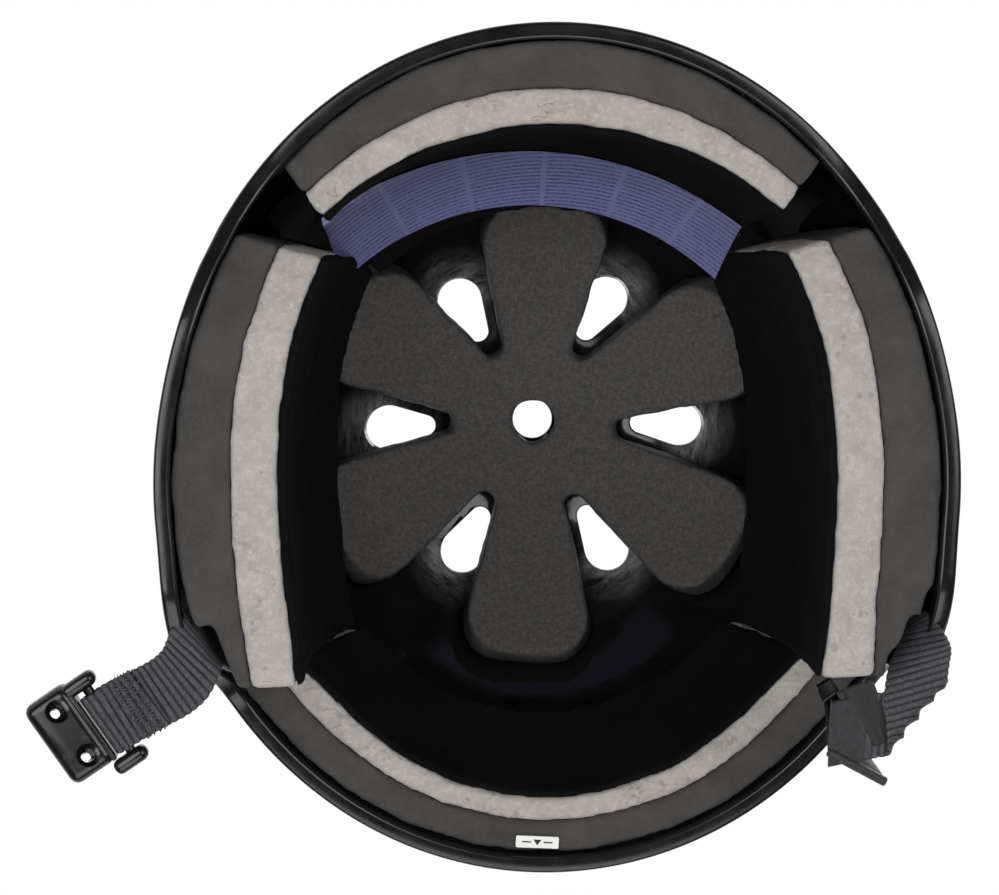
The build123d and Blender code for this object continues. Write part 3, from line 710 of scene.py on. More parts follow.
def teardrop(grow):
    """Outline of a vent on the +X axis, as places in plan."""
    reach, wide = VENT_WIDE[0], VENT_WIDE[1] + grow
    near, narrow = VENT_NARROW[0], VENT_NARROW[1] + grow
    lean = math.acos((wide - narrow) / (near - reach))
    turns = np.linspace(-lean, lean, 25)
    outline = [(reach + wide * math.cos(t), wide * math.sin(t)) for t in turns]
    turns = np.linspace(lean, 2 * math.pi - lean, 15)
    return outline + [(near + narrow * math.cos(t), narrow * math.sin(t)) for t in turns]


def crown_circle(grow):
    turns = np.linspace(0, 2 * math.pi, 49)[:-1]
    radius = CROWN_HOLE[1] + grow
    return [(radius * math.cos(t), CROWN_HOLE[0] + radius * math.sin(t)) for t in turns]


def add_cutter(bm, outline_of, turn):
    """A stack of outlines through the dome, bridged and capped."""
    rings = []
    for level, grow in zip(FLARE_HEIGHTS, FLARE_WIDTHS):
        ring = []
        for x, y in outline_of(grow * MM):
            x, y = x * math.cos(turn) - y * math.sin(turn), x * math.sin(turn) + y * math.cos(turn)
            end = REAR_REACH if y > 0 else FRONT_REACH
            share = math.hypot(x / SIDE_REACH, y / end)
            ring.append(bm.verts.new((x, y, float(height_at(share)) + level * MM)))
        rings.append([bm.edges.new((a, b)) for a, b in zip(ring, ring[1:] + ring[:1])])
    for low, high in zip(rings, rings[1:]):
        bmesh.ops.bridge_loops(bm, edges=low + high)
    bmesh.ops.holes_fill(bm, edges=rings[0] + rings[-1])


def vent_cutters():
    bm = bmesh.new()
    add_cutter(bm, crown_circle, 0)
    for step in range(VENT_COUNT):
        add_cutter(bm, teardrop, 2 * math.pi / VENT_COUNT * step)
    bmesh.ops.recalc_face_normals(bm, faces=bm.faces)
    return piece_from("vent_cutters", bm)


cut_with(shell, vent_cutters(), "DIFFERENCE")
print("shell after the vents", len(shell.data.polygons), "faces")

# %% [markdown]
# Two rivets hold the straps. Their places come from the frame, from the box of both rivets. The
# scuffs round the vents are an attribute of the shell's points, which its finish reads.

# %% Cut the rivet seats and mark the scuffs
RIVET_TURN = math.radians(21.8)
RIVET_SEAT_RADIUS, RIVET_SEAT_DEPTH = 4.9 * MM, 1.3 * MM
RIVET_HEAD_RISE = 1.9 * MM
RIVET_HOLE_RADIUS = 2.1 * MM
RIVET_CUT = 20 * MM
SCUFF_REACH = 12 * MM
SCUFF_NARROW_SHARE = 0.12
OUTER_SKIN = 0.4 * MM


def rivet_cutters():
    """A hole and a round seat for each rivet's head."""
    low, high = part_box("strap_rivets")
    bm = bmesh.new()
    for side in (1, -1):
        way = Vector((side * math.cos(RIVET_TURN), -math.sin(RIVET_TURN), 0))
        head = Vector((side * high.x, low.y + RIVET_SEAT_RADIUS, (low.z + high.z) / 2))
        seat = head - way * (RIVET_SEAT_DEPTH + RIVET_HEAD_RISE)
        turned = way.to_track_quat("Z", "Y").to_matrix().to_4x4()
        for radius, middle in ((RIVET_SEAT_RADIUS, seat + way * RIVET_CUT / 2), (RIVET_HOLE_RADIUS, seat)):
            bmesh.ops.create_cone(bm, cap_ends=True, segments=40, radius1=radius, radius2=radius,
                                  depth=RIVET_CUT, matrix=Matrix.Translation(middle) @ turned)
    return piece_from("rivet_cutters", bm)


def mark_scuffs(piece):
    """An attribute that is 1 at a vent's edge and fades over a few millimetres inside the shell."""
    places = np.array([v.co for v in piece.data.vertices])
    near = np.zeros(len(places))
    for step in range(VENT_COUNT):
        turn = 2 * math.pi / VENT_COUNT * step
        along = places[:, 0] * math.cos(turn) + places[:, 1] * math.sin(turn)
        aside = -places[:, 0] * math.sin(turn) + places[:, 1] * math.cos(turn)
        share = np.clip((along - VENT_NARROW[0]) / (VENT_WIDE[0] - VENT_NARROW[0]), 0, 1)
        middle = VENT_NARROW[0] + share * (VENT_WIDE[0] - VENT_NARROW[0])
        radius = VENT_NARROW[1] + share * (VENT_WIDE[1] - VENT_NARROW[1])
        edge = np.hypot(along - middle, aside) - radius
        outside = np.clip((along - VENT_WIDE[0] + VENT_WIDE[1]) / VENT_WIDE[1], SCUFF_NARROW_SHARE, 1)
        near = np.maximum(near, outside * np.clip(1 - edge / SCUFF_REACH, 0, 1) ** 1.3)
    end = np.where(places[:, 1] > 0, REAR_REACH, FRONT_REACH)
    shares = np.hypot(places[:, 0] / SIDE_REACH, places[:, 1] / end)
    inside = places[:, 2] < height_at(shares) - OUTER_SKIN
    scuff = piece.data.attributes.new("scuff", "FLOAT", "POINT")
    scuff.data.foreach_set("value", (near * inside).astype(np.float32))


cut_with(shell, fitted(rivet_cutters()), "DIFFERENCE")
mark_scuffs(shell)
dress(shell, "shell_body", "shell", "shell")
print("shell finished with", len(shell.data.polygons), "faces")

# %% [markdown]
# ## The rim trim
# A soft PVC channel is pushed over the cut edge. One closed section is carried along the rim
# line: for each of its points, its height into the shell and its distance from the shell's face.
# A grid is bent round both ways at once. The butt joint of its ends is too fine to show here.

# %% Sweep the trim
TRIM_SECTION = (
    (7.0, 0.12), (7.25, 0.45), (7.1, 0.85), (6.6, 1.0), (4.6, 1.0), (4.35, 0.86), (4.1, 1.0), (2.4, 1.0),
    (1.2, 0.98), (0.5, 0.82), (0.12, 0.45), (0.0, -0.2), (0.0, -1.5), (0.0, -2.8), (0.12, -3.45),
    (0.5, -3.82), (1.2, -3.98), (2.4, -4.0), (4.1, -4.0), (4.35, -3.86), (4.6, -4.0), (6.6, -4.0),
    (7.1, -3.85), (7.25, -3.45), (7.0, -3.12), (1.15, -3.05), (1.15, 0.05),
)


def trim_place(along, across):
    """Places for shares along the whole rim and round the section."""
    rings = []
    for height, out in TRIM_SECTION + TRIM_SECTION[:1]:
        left = rim_places(rim, height * MM, out * MM)
        right = left[::-1] * (-1, 1, 1)
        rings.append(np.concatenate([left, right[1:]]))
    rings = np.array(rings)
    ring = np.round(across * len(TRIM_SECTION)).astype(int)
    step = np.round(along * (rings.shape[1] - 1)).astype(int)
    return rings[ring, step]


def make_trim():
    bm = grid(2 * len(rim) - 2, len(TRIM_SECTION), trim_place)
    bmesh.ops.recalc_face_normals(bm, faces=bm.faces)
    return piece_from("edge_trim", bm, soft_pvc, sharp=50)


trim = dress(make_trim(), "shell_body", "trim", "rim_trim")
print("trim", len(trim.data.polygons), "faces")

# %% [markdown]
# ## The foam pads
# Each pad is three sheets of foam glued together and cut through with one blade, so its layers
# share their cut faces. A sheet starts as a merged copy of its solid, is remeshed to an even
# skin, and relaxed so that its edges are as soft as cut foam. Then one shared field of gentle
# waves moves every layer alike, so that the seams between them wander together, and a finer
# one roughens each layer's own faces. Noise vectors start from offsets that Blender draws anew
# each time, so a seed is set, and the foam comes out the same at each run.

# %% Make one layer of foam
VOXEL = 1.15 * MM
WAVE_SHIFT, RIPPLE_SHARE = 0.55 * MM, 0.35
WAVE_PITCH, RIPPLE_PITCH = 11 * MM, 4 * MM
GRAIN_PITCH, LUMP_PITCH, GRAIN_SHARE = 2.2 * MM, 6 * MM, 0.6
WAVE_SEED = 7
noise.seed_set(WAVE_SEED)


def merged_copy(name, node):
    """A welded copy of a frame node's loose triangles."""
    bm = bmesh.new()
    bm.from_mesh(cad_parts[node].data)
    bmesh.ops.remove_doubles(bm, verts=bm.verts, dist=1e-6)
    return piece_from(name, bm)


def remeshed(piece, voxel):
    modifier = piece.modifiers.new("even_skin", "REMESH")
    modifier.mode, modifier.voxel_size, modifier.use_smooth_shade = "VOXEL", voxel, True
    return bake_modifiers(piece, sharp=180)


def wave(place, pitch, seed):
    return noise.noise_vector(place / pitch + Vector((seed, 1.7 * seed, 0.3)))


print("foam starts as an even skin of", round(VOXEL / MM, 2), "mm squares")

# %% [markdown]
# Each strap comes out between a side pad and the shell, in a pocket cut from the dark foam. The
# cutter is a prism from a few places along the pocket's edge, out past the shell.

# %% Make every layer of the four edge pads
POCKETS = {
    "left": ((110.9, -41.2), (107.7, -45), (104.1, -46.8), (102.1, -49.1), (101.5, -54.4),
             (101.2, -58.8), (102, -69)),
    "right": ((-114.5, -34.1), (-111, -35.9), (-108.3, -38.5), (-106.9, -42.9), (-104.2, -48.4),
              (-100.2, -53), (-96.5, -57), (-94.8, -61.5), (-94.4, -69)),
}
POCKET_FLOOR, POCKET_TOP = -1 * MM, 24 * MM
POCKET_SIDE = 140 * MM


def pocket_cutter(pad):
    """The room that the foam leaves for a strap, between its first and last place and the shell."""
    outline = [Vector((x * MM, y * MM, POCKET_FLOOR)) for x, y in POCKETS[pad]]
    side = math.copysign(POCKET_SIDE, outline[0].x)
    outline += [Vector((side, outline[-1].y, POCKET_FLOOR)), Vector((side, outline[0].y, POCKET_FLOOR))]
    bm = bmesh.new()
    extruded(bm, outline, (0, 0, POCKET_TOP))
    bmesh.ops.recalc_face_normals(bm, faces=bm.faces)
    return piece_from("pocket_cutter", bm)


def foam_layer(name, node, finish, rough, relax=3, pocket=None):
    """Remeshes, relaxes and roughens one sheet of foam."""
    piece = merged_copy(name, node)
    if pocket:
        cut_with(piece, pocket_cutter(pocket), "DIFFERENCE")
    piece = remeshed(piece, VOXEL)
    bm = bmesh.new()
    bm.from_mesh(piece.data)
    for _ in range(relax):
        bmesh.ops.smooth_vert(bm, verts=bm.verts, factor=0.5,
                              use_axis_x=True, use_axis_y=True, use_axis_z=True)
    bm.normal_update()
    for vertex in bm.verts:
        shared = wave(vertex.co, WAVE_PITCH, 3) * WAVE_SHIFT
        shared += wave(vertex.co, RIPPLE_PITCH, 5) * WAVE_SHIFT * RIPPLE_SHARE
        own = noise.noise(vertex.co / GRAIN_PITCH) * GRAIN_SHARE + noise.noise(vertex.co / LUMP_PITCH)
        vertex.co += shared + vertex.normal * own * rough
    bm.to_mesh(piece.data)
    bm.free()
    piece.data.materials.clear()
    piece.data.materials.append(finish)
    piece.data.shade_smooth()
    return piece


LAYERS = {
    "outer": (dark_eva, "dark_foam", 0.10 * MM),
    "middle": (pale_foam, "light_foam", 0.26 * MM),
    "lining": (knit, "lining", 0.08 * MM),
}
FRONT_FIT_SHARE = {"rear": 1, "brow": 1, "left": 0.15, "right": 0.9}
for pad, front in FRONT_FIT_SHARE.items():
    for layer, (finish, slot, rough) in LAYERS.items():
        node = f"{pad}_pad_{layer}"
        pocket = pad if pad in POCKETS and layer == "outer" else None
        foam = fitted(foam_layer(f"{pad}_foam_{layer}", node, finish, rough, pocket=pocket), front=front)
        dress(foam, "shell_body", slot, node)
        print(foam.name, len(foam.data.polygons), "faces")

# %% [markdown]
# The crown pad is one die-cut flower. It gets more relaxing, because its moulded skin rolls over
# at the edges. Its cut walls lean outwards, since the flat sheet was bent into the dome, and an
# attribute marks them, so that painted shade makes them darker than its face.

# %% Make the crown pad
def mark_wall_shade(piece):
    """An attribute that is 1 on the upright cut walls, where shade is painted, and 0 on its moulded skin."""
    facing = np.abs([vertex.normal.z for vertex in piece.data.vertices])
    cut = piece.data.attributes.new("cut", "FLOAT", "POINT")
    cut.data.foreach_set("value", np.clip(1.25 - 1.9 * facing, 0, 1).astype(np.float32))


CROWN_FACE, CROWN_BACK = -14.3 * MM, -PAD_INSET
CROWN_LEAN = 10 * MM


def height_over(places, out):
    """Height of a dome over places in plan, for the dome `out` metres outside the shell."""
    end = np.where(places[:, 1] > 0, REAR_REACH, FRONT_REACH) + out
    return height_at(np.hypot(places[:, 0] / (SIDE_REACH + out), places[:, 1] / end), out)


def lean_walls(piece):
    """Leans the cut walls outwards towards the shell, so that they stand square to the skin."""
    places = np.array([v.co for v in piece.data.vertices])
    near, far = height_over(places, CROWN_FACE), height_over(places, CROWN_BACK)
    depth = np.clip((places[:, 2] - near) / (far - near), 0, 1)
    reach = np.maximum(np.hypot(places[:, 0], places[:, 1]), MM)[:, None]
    outward = places * (1, 1, 0) / reach
    slope = np.arctan((far - height_over(places + outward * MM, CROWN_BACK)) / MM)
    shift = CROWN_LEAN * np.sin(slope) * depth
    places += outward * shift[:, None] - np.stack([0 * shift, 0 * shift, shift * np.tan(slope)], 1)
    piece.data.vertices.foreach_set("co", places.ravel())
    piece.data.update()
    return piece


flower = lean_walls(foam_layer("crown_flower", "crown_pad", crown_skin, 0.1 * MM, relax=6))
mark_wall_shade(flower)
dress(flower, "shell_body", "crown_foam", "crown_pad")
print("crown pad", len(flower.data.polygons), "faces")

# %% [markdown]
# ## Webbing
# The straps are ribbed polypropylene webbing. A strap is a row of listed stations: a place,
# and the direction that the strap's width has there. They are smoothed, spaced evenly, and carry
# one thin section with rounded selvedges. The ribs are real: the section's thickness swells and
# dips along the strap at the pitch counted in the photograph.

# %% Helpers for webbing
STRAP_HALF, STRAP_THICK = 10 * MM, 1.5 * MM
RIB_PITCH = 2.2 * MM
RIB_FADE = 6 * MM
# Share of painted shade on plain webbing, such as the folded flap, which lies in shadow.
PLAIN_PAINTED_SHADE = 0.7
RIB_DEPTH_SHARE = 0.72
WEB_STEP = 0.22 * MM
SCALLOP_SHARE = 0.03
SELVEDGE_SHARE = 0.9
WEB_SECTION_SHARES = (
    (-1, 0), (-0.99, 0.6), (-0.955, 0.95), (-0.88, 1), (-0.5, 1), (0, 1), (0.5, 1), (0.88, 1),
    (0.955, 0.95), (0.99, 0.6), (1, 0), (0.99, -0.6), (0.955, -0.95), (0.88, -1), (0.5, -1), (0, -1),
    (-0.5, -1), (-0.88, -1), (-0.955, -0.95), (-0.99, -0.6),
)


def smoothed(stations, step):
    """Catmull-Rom through the stations, spaced evenly by the distance of their first three numbers."""
    rows = np.array(stations, float)
    rows = np.concatenate([[2 * rows[0] - rows[1]], rows, [2 * rows[-1] - rows[-2]]])
    dense = []
    for a, b, c, d in zip(rows, rows[1:], rows[2:], rows[3:]):
        for t in np.linspace(0, 1, 24, endpoint=False):
            dense.append(0.5 * (2 * b + (c - a) * t + (2 * a - 5 * b + 4 * c - d) * t**2
                                + (3 * b - a - 3 * c + d) * t**3))
    dense = np.array(dense + [rows[-2]])
    length = np.concatenate([[0], np.cumsum(np.linalg.norm(np.diff(dense[:, :3], axis=0), axis=1))])
    even = np.linspace(0, length[-1], int(length[-1] / step) + 1)
    return np.stack([np.interp(even, length, column) for column in dense.T], 1), even


def webbing_strip(name, stations, finish, ribbed=1.0, plain_from=math.inf):
    """Webbing through stations of a place and its width's direction, plain past a length."""
    rows, length = smoothed(stations, WEB_STEP)
    centre, across = rows[:, :3], rows[:, 3:6]
    across /= np.linalg.norm(across, axis=1)[:, None]
    ahead = np.gradient(centre, axis=0)
    face = np.cross(ahead, across)
    face /= np.linalg.norm(face, axis=1)[:, None]
    rib = np.abs(np.sin(math.pi * length / RIB_PITCH)) ** 0.8
    ribs = ribbed * np.clip((plain_from - length) / RIB_FADE, 0, 1)
    section = np.array(WEB_SECTION_SHARES + WEB_SECTION_SHARES[:1])

    # Painted shade for the finish: near-black in the grooves between ribs, and a share of that on plain
    # webbing.
    def painted_shade(along):
        step = np.round(along * (len(rows) - 1)).astype(int)
        groove_shade = np.clip(1.35 - 2.0 * rib[step], 0, 1) * ribs[step]
        return np.maximum(groove_shade, PLAIN_PAINTED_SHADE * (1 - ribs[step]))

    def place(along, round_it):
        step = np.round(along * (len(rows) - 1)).astype(int)
        side, thick = section[np.round(round_it * (len(section) - 1)).astype(int)].T
        dip = ribs[step] * (1 - rib[step])
        swell = 1 - RIB_DEPTH_SHARE * dip * np.where(np.abs(side) < SELVEDGE_SHARE, 1, 0.5)
        scallop = 1 - SCALLOP_SHARE * dip
        return (centre[step] + across[step] * (side * scallop * STRAP_HALF)[:, None]
                + face[step] * (thick * swell * STRAP_THICK / 2)[:, None])

    bm = grid(len(rows) - 1, len(section) - 1, place, painted_shade)
    bmesh.ops.holes_fill(bm, edges=[e for e in bm.edges if e.is_boundary])
    bmesh.ops.recalc_face_normals(bm, faces=bm.faces)
    print(name, "is", round(length[-1] / MM), "mm long")
    return piece_from(name, bm, finish, sharp=60)


print("webbing helpers ready")

# %% [markdown]
# The left strap comes down from its rivet behind the pad, turns out under the rim with its width
# still slanted, straightens towards the buckle, goes round the bar and comes back underneath,
# where it is sewn. Its stations are written along the strap: out from the root, aside, up, and
# the turn of its width.

# %% Left strap
STRAP_ROOT = Vector((102.64, -56, 0)) * MM
LEFT_TURN = 28
LEFT_STATIONS = (
    (0.0, 0.0, 48.0, 21.8, 0), (0.0, 0.6, 36.0, 21.8, -6), (0.2, 3.2, 22.0, 24, -16),
    (0.6, 6.0, 12.0, 30, -20), (1.4, 6.9, 6.2, 38, -15), (3.2, 6.0, 2.7, 45, -5),
    (6.0, 4.0, 1.5, 45, 0), (9.2, 1.9, 1.3, 40, 0), (12.6, 0.8, 1.8, 36, 0),
    (16.0, 0.3, 2.6, 34, 0), (20.0, 0.3, 2.75, 32, 0), (24.0, 0.5, 2.75, 31, 0),
    (28.0, 0.6, 3.4, 31, 0), (31.5, 0.5, 5.2, 32, 0), (34.0, 0.3, 6.2, 33, 0),
    (36.0, 0.0, 6.35, 33.5, 0), (38.3, 0.0, 5.6, 33.5, 0), (39.15, 0.0, 3.7, 33.5, 0),
    (38.3, 0.0, 1.8, 33.5, 0), (36.0, 0.0, 1.05, 33.5, 0), (32.0, 0.4, 1.0, 30, 0),
    (27.0, 0.6, 1.0, 33, 0), (22.0, 0.5, 1.0, 36, 0),
)


def strap_station(out, aside, up, turn, tilt, frame_turn, side=1):
    """A place and a width direction, from measures on a frame at the strap's root."""
    lean, wide, tip = math.radians(frame_turn), math.radians(turn), math.radians(tilt)
    x = STRAP_ROOT.x + (out * math.cos(lean) + aside * math.sin(lean)) * MM
    y = STRAP_ROOT.y + (-out * math.sin(lean) + aside * math.cos(lean)) * MM
    across = side * math.sin(wide) * math.cos(tip), math.cos(wide) * math.cos(tip), math.sin(tip)
    return (side * x, y, up * MM, *across)


left_rows = [strap_station(*row, LEFT_TURN) for row in LEFT_STATIONS]
left_strap = webbing_strip("left_webbing", left_rows, webbing)
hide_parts("left_strap", "left_strap_anchor")
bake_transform(left_strap)

# %% [markdown]
# The bar-tack is a block of dense zigzag thread, on both faces of the doubled strap. Each stitch
# is a small pointed bead lying across the ribs; they repeat, so each has only a few faces.

# %% Bar-tack stitches
TACK_START, TACK_END, TACK_ROWS = 22.8, 29.3, 7
TACK_SIDE, TACK_FACES = 8.8, (0.3, 3.7)
STITCHES_PER_ROW = 17
STITCH_HALF = Vector((0.95, 0.36, 0.3)) * MM
STITCH_TURN, STITCH_FAN, STITCH_STRAY = -62, 34, 60


def bar_tack():
    bm = bmesh.new()
    for row in range(TACK_ROWS):
        out = TACK_START + (TACK_END - TACK_START) * row / (TACK_ROWS - 1)
        for step in range(STITCHES_PER_ROW):
            aside = -TACK_SIDE + 2 * TACK_SIDE * step / (STITCHES_PER_ROW - 1)
            stray = noise.noise(Vector((row * 3.1, step * 1.7, 0.5)))
            fan = STITCH_FAN if step % 2 else -STITCH_FAN
            turned = Matrix.Rotation(math.radians(STITCH_TURN + fan + STITCH_STRAY * stray), 4, "Z")
            for up in TACK_FACES:
                along = out + 1.2 * stray + 0.07 * aside
                place = strap_station(along, aside * 1.08 + 0.5, up, 0, 0, LEFT_TURN)
                matrix = Matrix.Translation(place[:3]) @ turned @ Matrix.Diagonal((*STITCH_HALF, 1))
                bmesh.ops.create_uvsphere(bm, u_segments=6, v_segments=5, radius=1, matrix=matrix)
    return piece_from("bar_tack", bm, thread, sharp=180)


dress(bar_tack(), "left_strap_body", "thread", "left_strap_stitching")
print("bar-tack", TACK_ROWS * STITCHES_PER_ROW * 2, "stitches")

# %% [markdown]
# The right strap turns forward along the floor and is folded over at the lobe's front corner. A
# fold in flat webbing rolls about a slanted crease: the part beyond it is mirrored about the
# crease and lies one thickness higher. So this strap is placed flat first, and then rolled.

# %% Right strap's first run
def rolled(places, point, normal, radius, low):
    """Rolls what lies beyond a crease in plan back over a half round, as flat webbing folds."""
    beyond = (places[:, :2] - point) @ normal
    foot = places[:, :2] - beyond[:, None] * normal
    lift = places[:, 2] - low
    turn = np.clip(beyond / radius, 0, math.pi)
    past = beyond - turn * radius
    reach = np.where(beyond > 0, (radius - lift) * np.sin(turn) + np.cos(turn) * past, beyond)
    rise = np.where(beyond > 0, radius - (radius - lift) * np.cos(turn), lift)
    return np.concatenate([foot + reach[:, None] * normal, (low + rise)[:, None]], 1)


RIGHT_TURN = 21.8
RUN_HEIGHT = 1.08
RIGHT_STATIONS = (
    (0.0, 0.0, 48.0, 21.8, 0), (0.0, 0.6, 36.0, 22, 0), (0.6, 3.6, 24.0, 30, -18),
    (2.0, 6.4, 16.5, 46, -42), (4.0, 7.0, 10.8, 60, -56), (5.6, 4.2, 7.6, 67, -46),
    (6.2, 0.4, 4.8, 71, -26), (6.5, -3.6, 2.4, 73, -9), (7.9, -9.1, 1.2, 75, 0),
    (11.0, -15.6, RUN_HEIGHT, 76, 0), (14.2, -22.1, RUN_HEIGHT, 77, 0), (17.2, -28.5, RUN_HEIGHT, 77, 0),
    (20.2, -35.5, RUN_HEIGHT, 77, 0), (22.8, -42.0, RUN_HEIGHT, 77, 0),
)
CREASE_POINT = np.array((106.5, -75.2)) * MM
CREASE_TURN = math.radians(-39.7)
CREASE_RADIUS = 1.0 * MM
PLAIN_FROM = 86 * MM
ROLL_BELOW = 4 * MM


def make_right_run():
    rows = [strap_station(*row, RIGHT_TURN) for row in RIGHT_STATIONS]
    piece = webbing_strip("right_webbing", rows, webbing, plain_from=PLAIN_FROM)
    places = np.array([v.co for v in piece.data.vertices])
    normal = np.array((math.cos(CREASE_TURN), math.sin(CREASE_TURN)))
    flat = places[:, 2] < ROLL_BELOW
    places[flat] = rolled(places[flat], CREASE_POINT, normal, CREASE_RADIUS, RUN_HEIGHT * MM)
    places[:, 0] *= -1
    piece.data.vertices.foreach_set("co", places.ravel())
    piece.data.flip_normals()
    return piece


right_strap = make_right_run()
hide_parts("right_strap", "right_strap_anchor")
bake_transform(right_strap)

# %% [markdown]
# Beyond the fold the webbing turns up, goes over the bar of the buckle's male half and hangs down
# as a tail. The tail twists a little on its way down, and its end is rolled and sewn as a hem.

# %% Right strap's rise, loop and tail
RISE_BACK, RISE_FORWARD, RISE_TURN = 11.2, 22.5, 36.9
RISE_STATIONS = (
    (7.6, 0.6, 3.1, 20), (4.0, 2.0, 2.9, 24), (0.9, 3.0, 2.9, 27), (-0.6, 3.2, 4.6, 28),
    (-0.7, 2.4, 8.0, 31), (-0.3, 0.8, 13.0, 35), (-0.3, 0.0, 17.4, 36.9), (-2.65, 0.0, 18.75, 36.9),
    (-5.0, 0.0, 17.4, 36.9), (-5.3, -0.2, 14.0, 38), (-5.9, -1.9, 10.5, 43), (-7.0, -4.4, 7.2, 50),
    (-8.3, -6.9, 4.6, 57), (-9.2, -8.4, 2.8, 61),
)
HEM_RADIUS, HEM_ROUND = 1.45 * MM, 0.5 * MM


def rise_station(out, aside, up, turn):
    """A place and a width direction on the frame of the bend line, on the wearer's right."""
    lean, wide = math.radians(RISE_TURN), math.radians(turn)
    x = STRAP_ROOT.x + (-RISE_BACK + out * math.cos(lean) - aside * math.sin(lean)) * MM
    y = STRAP_ROOT.y + (-RISE_FORWARD + out * math.sin(lean) + aside * math.cos(lean)) * MM
    return (-x, y, up * MM, math.sin(wide), math.cos(wide), 0)


rise_rows = [rise_station(*row) for row in RISE_STATIONS]
# Painted shade: a darker webbing tint stands for the shadow that the riser and tail lie in.
riser = webbing_strip("right_riser_webbing", rise_rows, shade_painted_webbing, ribbed=0.15)
dress(riser, "right_strap_body", "webbing")


def make_hem():
    """The rolled end of the tail, a soft bar across it."""
    end = Vector(rise_rows[-1][:3])
    across = Vector(rise_rows[-1][3:]).normalized()
    bm = bmesh.new()
    turned = across.to_track_quat("Z", "Y").to_matrix().to_4x4()
    bmesh.ops.create_cone(bm, cap_ends=True, segments=24, radius1=HEM_RADIUS, radius2=HEM_RADIUS,
                          depth=2 * STRAP_HALF, matrix=Matrix.Translation(end) @ turned)
    ends = [e for e in bm.edges if abs((e.verts[0].co - e.verts[1].co).dot(across)) < 1e-6]
    bmesh.ops.bevel(bm, geom=ends, offset=HEM_ROUND, affect="EDGES", segments=3, profile=0.5, material=-1)
    # The hem takes the same darker webbing, painted as shade.
    return piece_from("right_tail_hem", bm, shade_painted_webbing, sharp=60)


hem = dress(make_hem(), "right_strap_body", "webbing")
print("right strap made of", right_strap.name, riser.name, hem.name)

# %% [markdown]
# ## Pieces that keep their solids
# The buckle's male half, with its two prongs, and the rivets' washers have the right shape
# already. They keep it and only take their finishes, through their own material slots.

# %% Finish the kept nodes
KEPT = {
    "male_buckle_body": acetal, "male_prong_rear": acetal, "male_prong_front": acetal,
    "rivet_washers": steel,
}
for node, finish in KEPT.items():
    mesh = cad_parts[node].data
    if not mesh.materials:
        mesh.materials.append(finish)
    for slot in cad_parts[node].material_slots:
        slot.material = finish
print("kept", len(KEPT), "nodes with new finishes")

# %% [markdown]
# The rivets, their spacers and the discs touch the shell. Copies of them follow its fuller front
# corners and slimmer rear sides, and stand for their nodes.

# %% Small pieces that sit on the shell
ON_SHELL = {
    "strap_rivets": (lacquer, "rivet"), "rivet_spacers": (nylon, "spacer"),
    "pad_hook_discs": (hook_tape, "hook_tape"), "pad_loop_discs": (loop_tape, "loop_tape"),
}
for node, (finish, slot) in ON_SHELL.items():
    copy = fitted(merged_copy(f"{node}_fitted", node))
    copy.data.materials.append(finish)
    dress(copy, "shell_body", slot, node)
print("fitted", len(ON_SHELL), "nodes to the shell")

# %% [markdown]
# ## The buckle's female half
# The real one is an acetal moulding with soft, glossy edges: a hollow box with two round press
# windows, and two ears that hold the strap's bar. It is made of bevelled cubes, and its windows
# and socket are cut with Boolean tools. The box sits a little turned on its bar. Its places are
# in millimetres: out from the strap's root, aside and up.

# %% Model the female half
BUCKLE_TURN = 33.5
BUCKLE_BAR = (36.0, 0.0, 3.7)
BAR_RADIUS, BAR_LENGTH = 1.6 * MM, 26 * MM
BOX_SIZE, BOX_MIDDLE, BOX_ROUND = (15.6, 27.8, 9.2), (48.1, 3.4, 4.95), 3.2
EAR_SIZE, EARS, EAR_ROUND = (11.4, 4.6, 6.4), ((37.4, 14.2, 3.6), (37.4, -13.1, 3.6)), 2.1
LIP_SIZE, LIP_MIDDLE, LIP_ROUND = (1.8, 24.0, 7.6), (41.1, 1.6, 4.6), 0.7
SOCKET_SIZE, SOCKET_SHIFT, SOCKET_ROUND = (14.0, 20.4, 4.6), 3.4, 0.8
WINDOWS = ((46.6, 11.4), (46.6, -4.6))
WINDOW_RINGS = (
    (0, 0, -0.4, 4.2), (0, 0, 0.5, 3.5), (0.6, -0.2, 2.6, 2.1), (3.2, -1.1, 9.0, 1.3),
    (3.4, -1.2, 10.2, 2.2),
)


def buckle_matrix(place):
    """From millimetres on the turned buckle, measured from the bar's own frame, to the helmet."""
    bar = Vector(strap_station(*BUCKLE_BAR, 0, 0, LEFT_TURN)[:3])
    turned = Matrix.Rotation(-math.radians(BUCKLE_TURN), 4, "Z")
    offset = Vector(place) - Vector(BUCKLE_BAR)
    return Matrix.Translation(bar) @ turned @ Matrix.Translation(offset * MM)


def rounded_box(bm, place, size, radius, segments=5):
    """A cube scaled to a size, with all its edges rounded."""
    matrix = buckle_matrix(place) @ Matrix.Diagonal((*(Vector(size) * MM), 1))
    made = bmesh.ops.create_cube(bm, size=1, matrix=matrix)
    edges = {edge for vertex in made["verts"] for edge in vertex.link_edges}
    bmesh.ops.bevel(bm, geom=list(edges), offset=radius * MM, affect="EDGES", segments=segments,
                    profile=0.5, material=-1)


def socket_cutter():
    """The room for the male half's prongs, open at the far end."""
    bm = bmesh.new()
    out, aside, up = BOX_MIDDLE
    rounded_box(bm, (out + SOCKET_SHIFT, aside, up), SOCKET_SIZE, SOCKET_ROUND, 2)
    return piece_from("socket_cutter", bm)


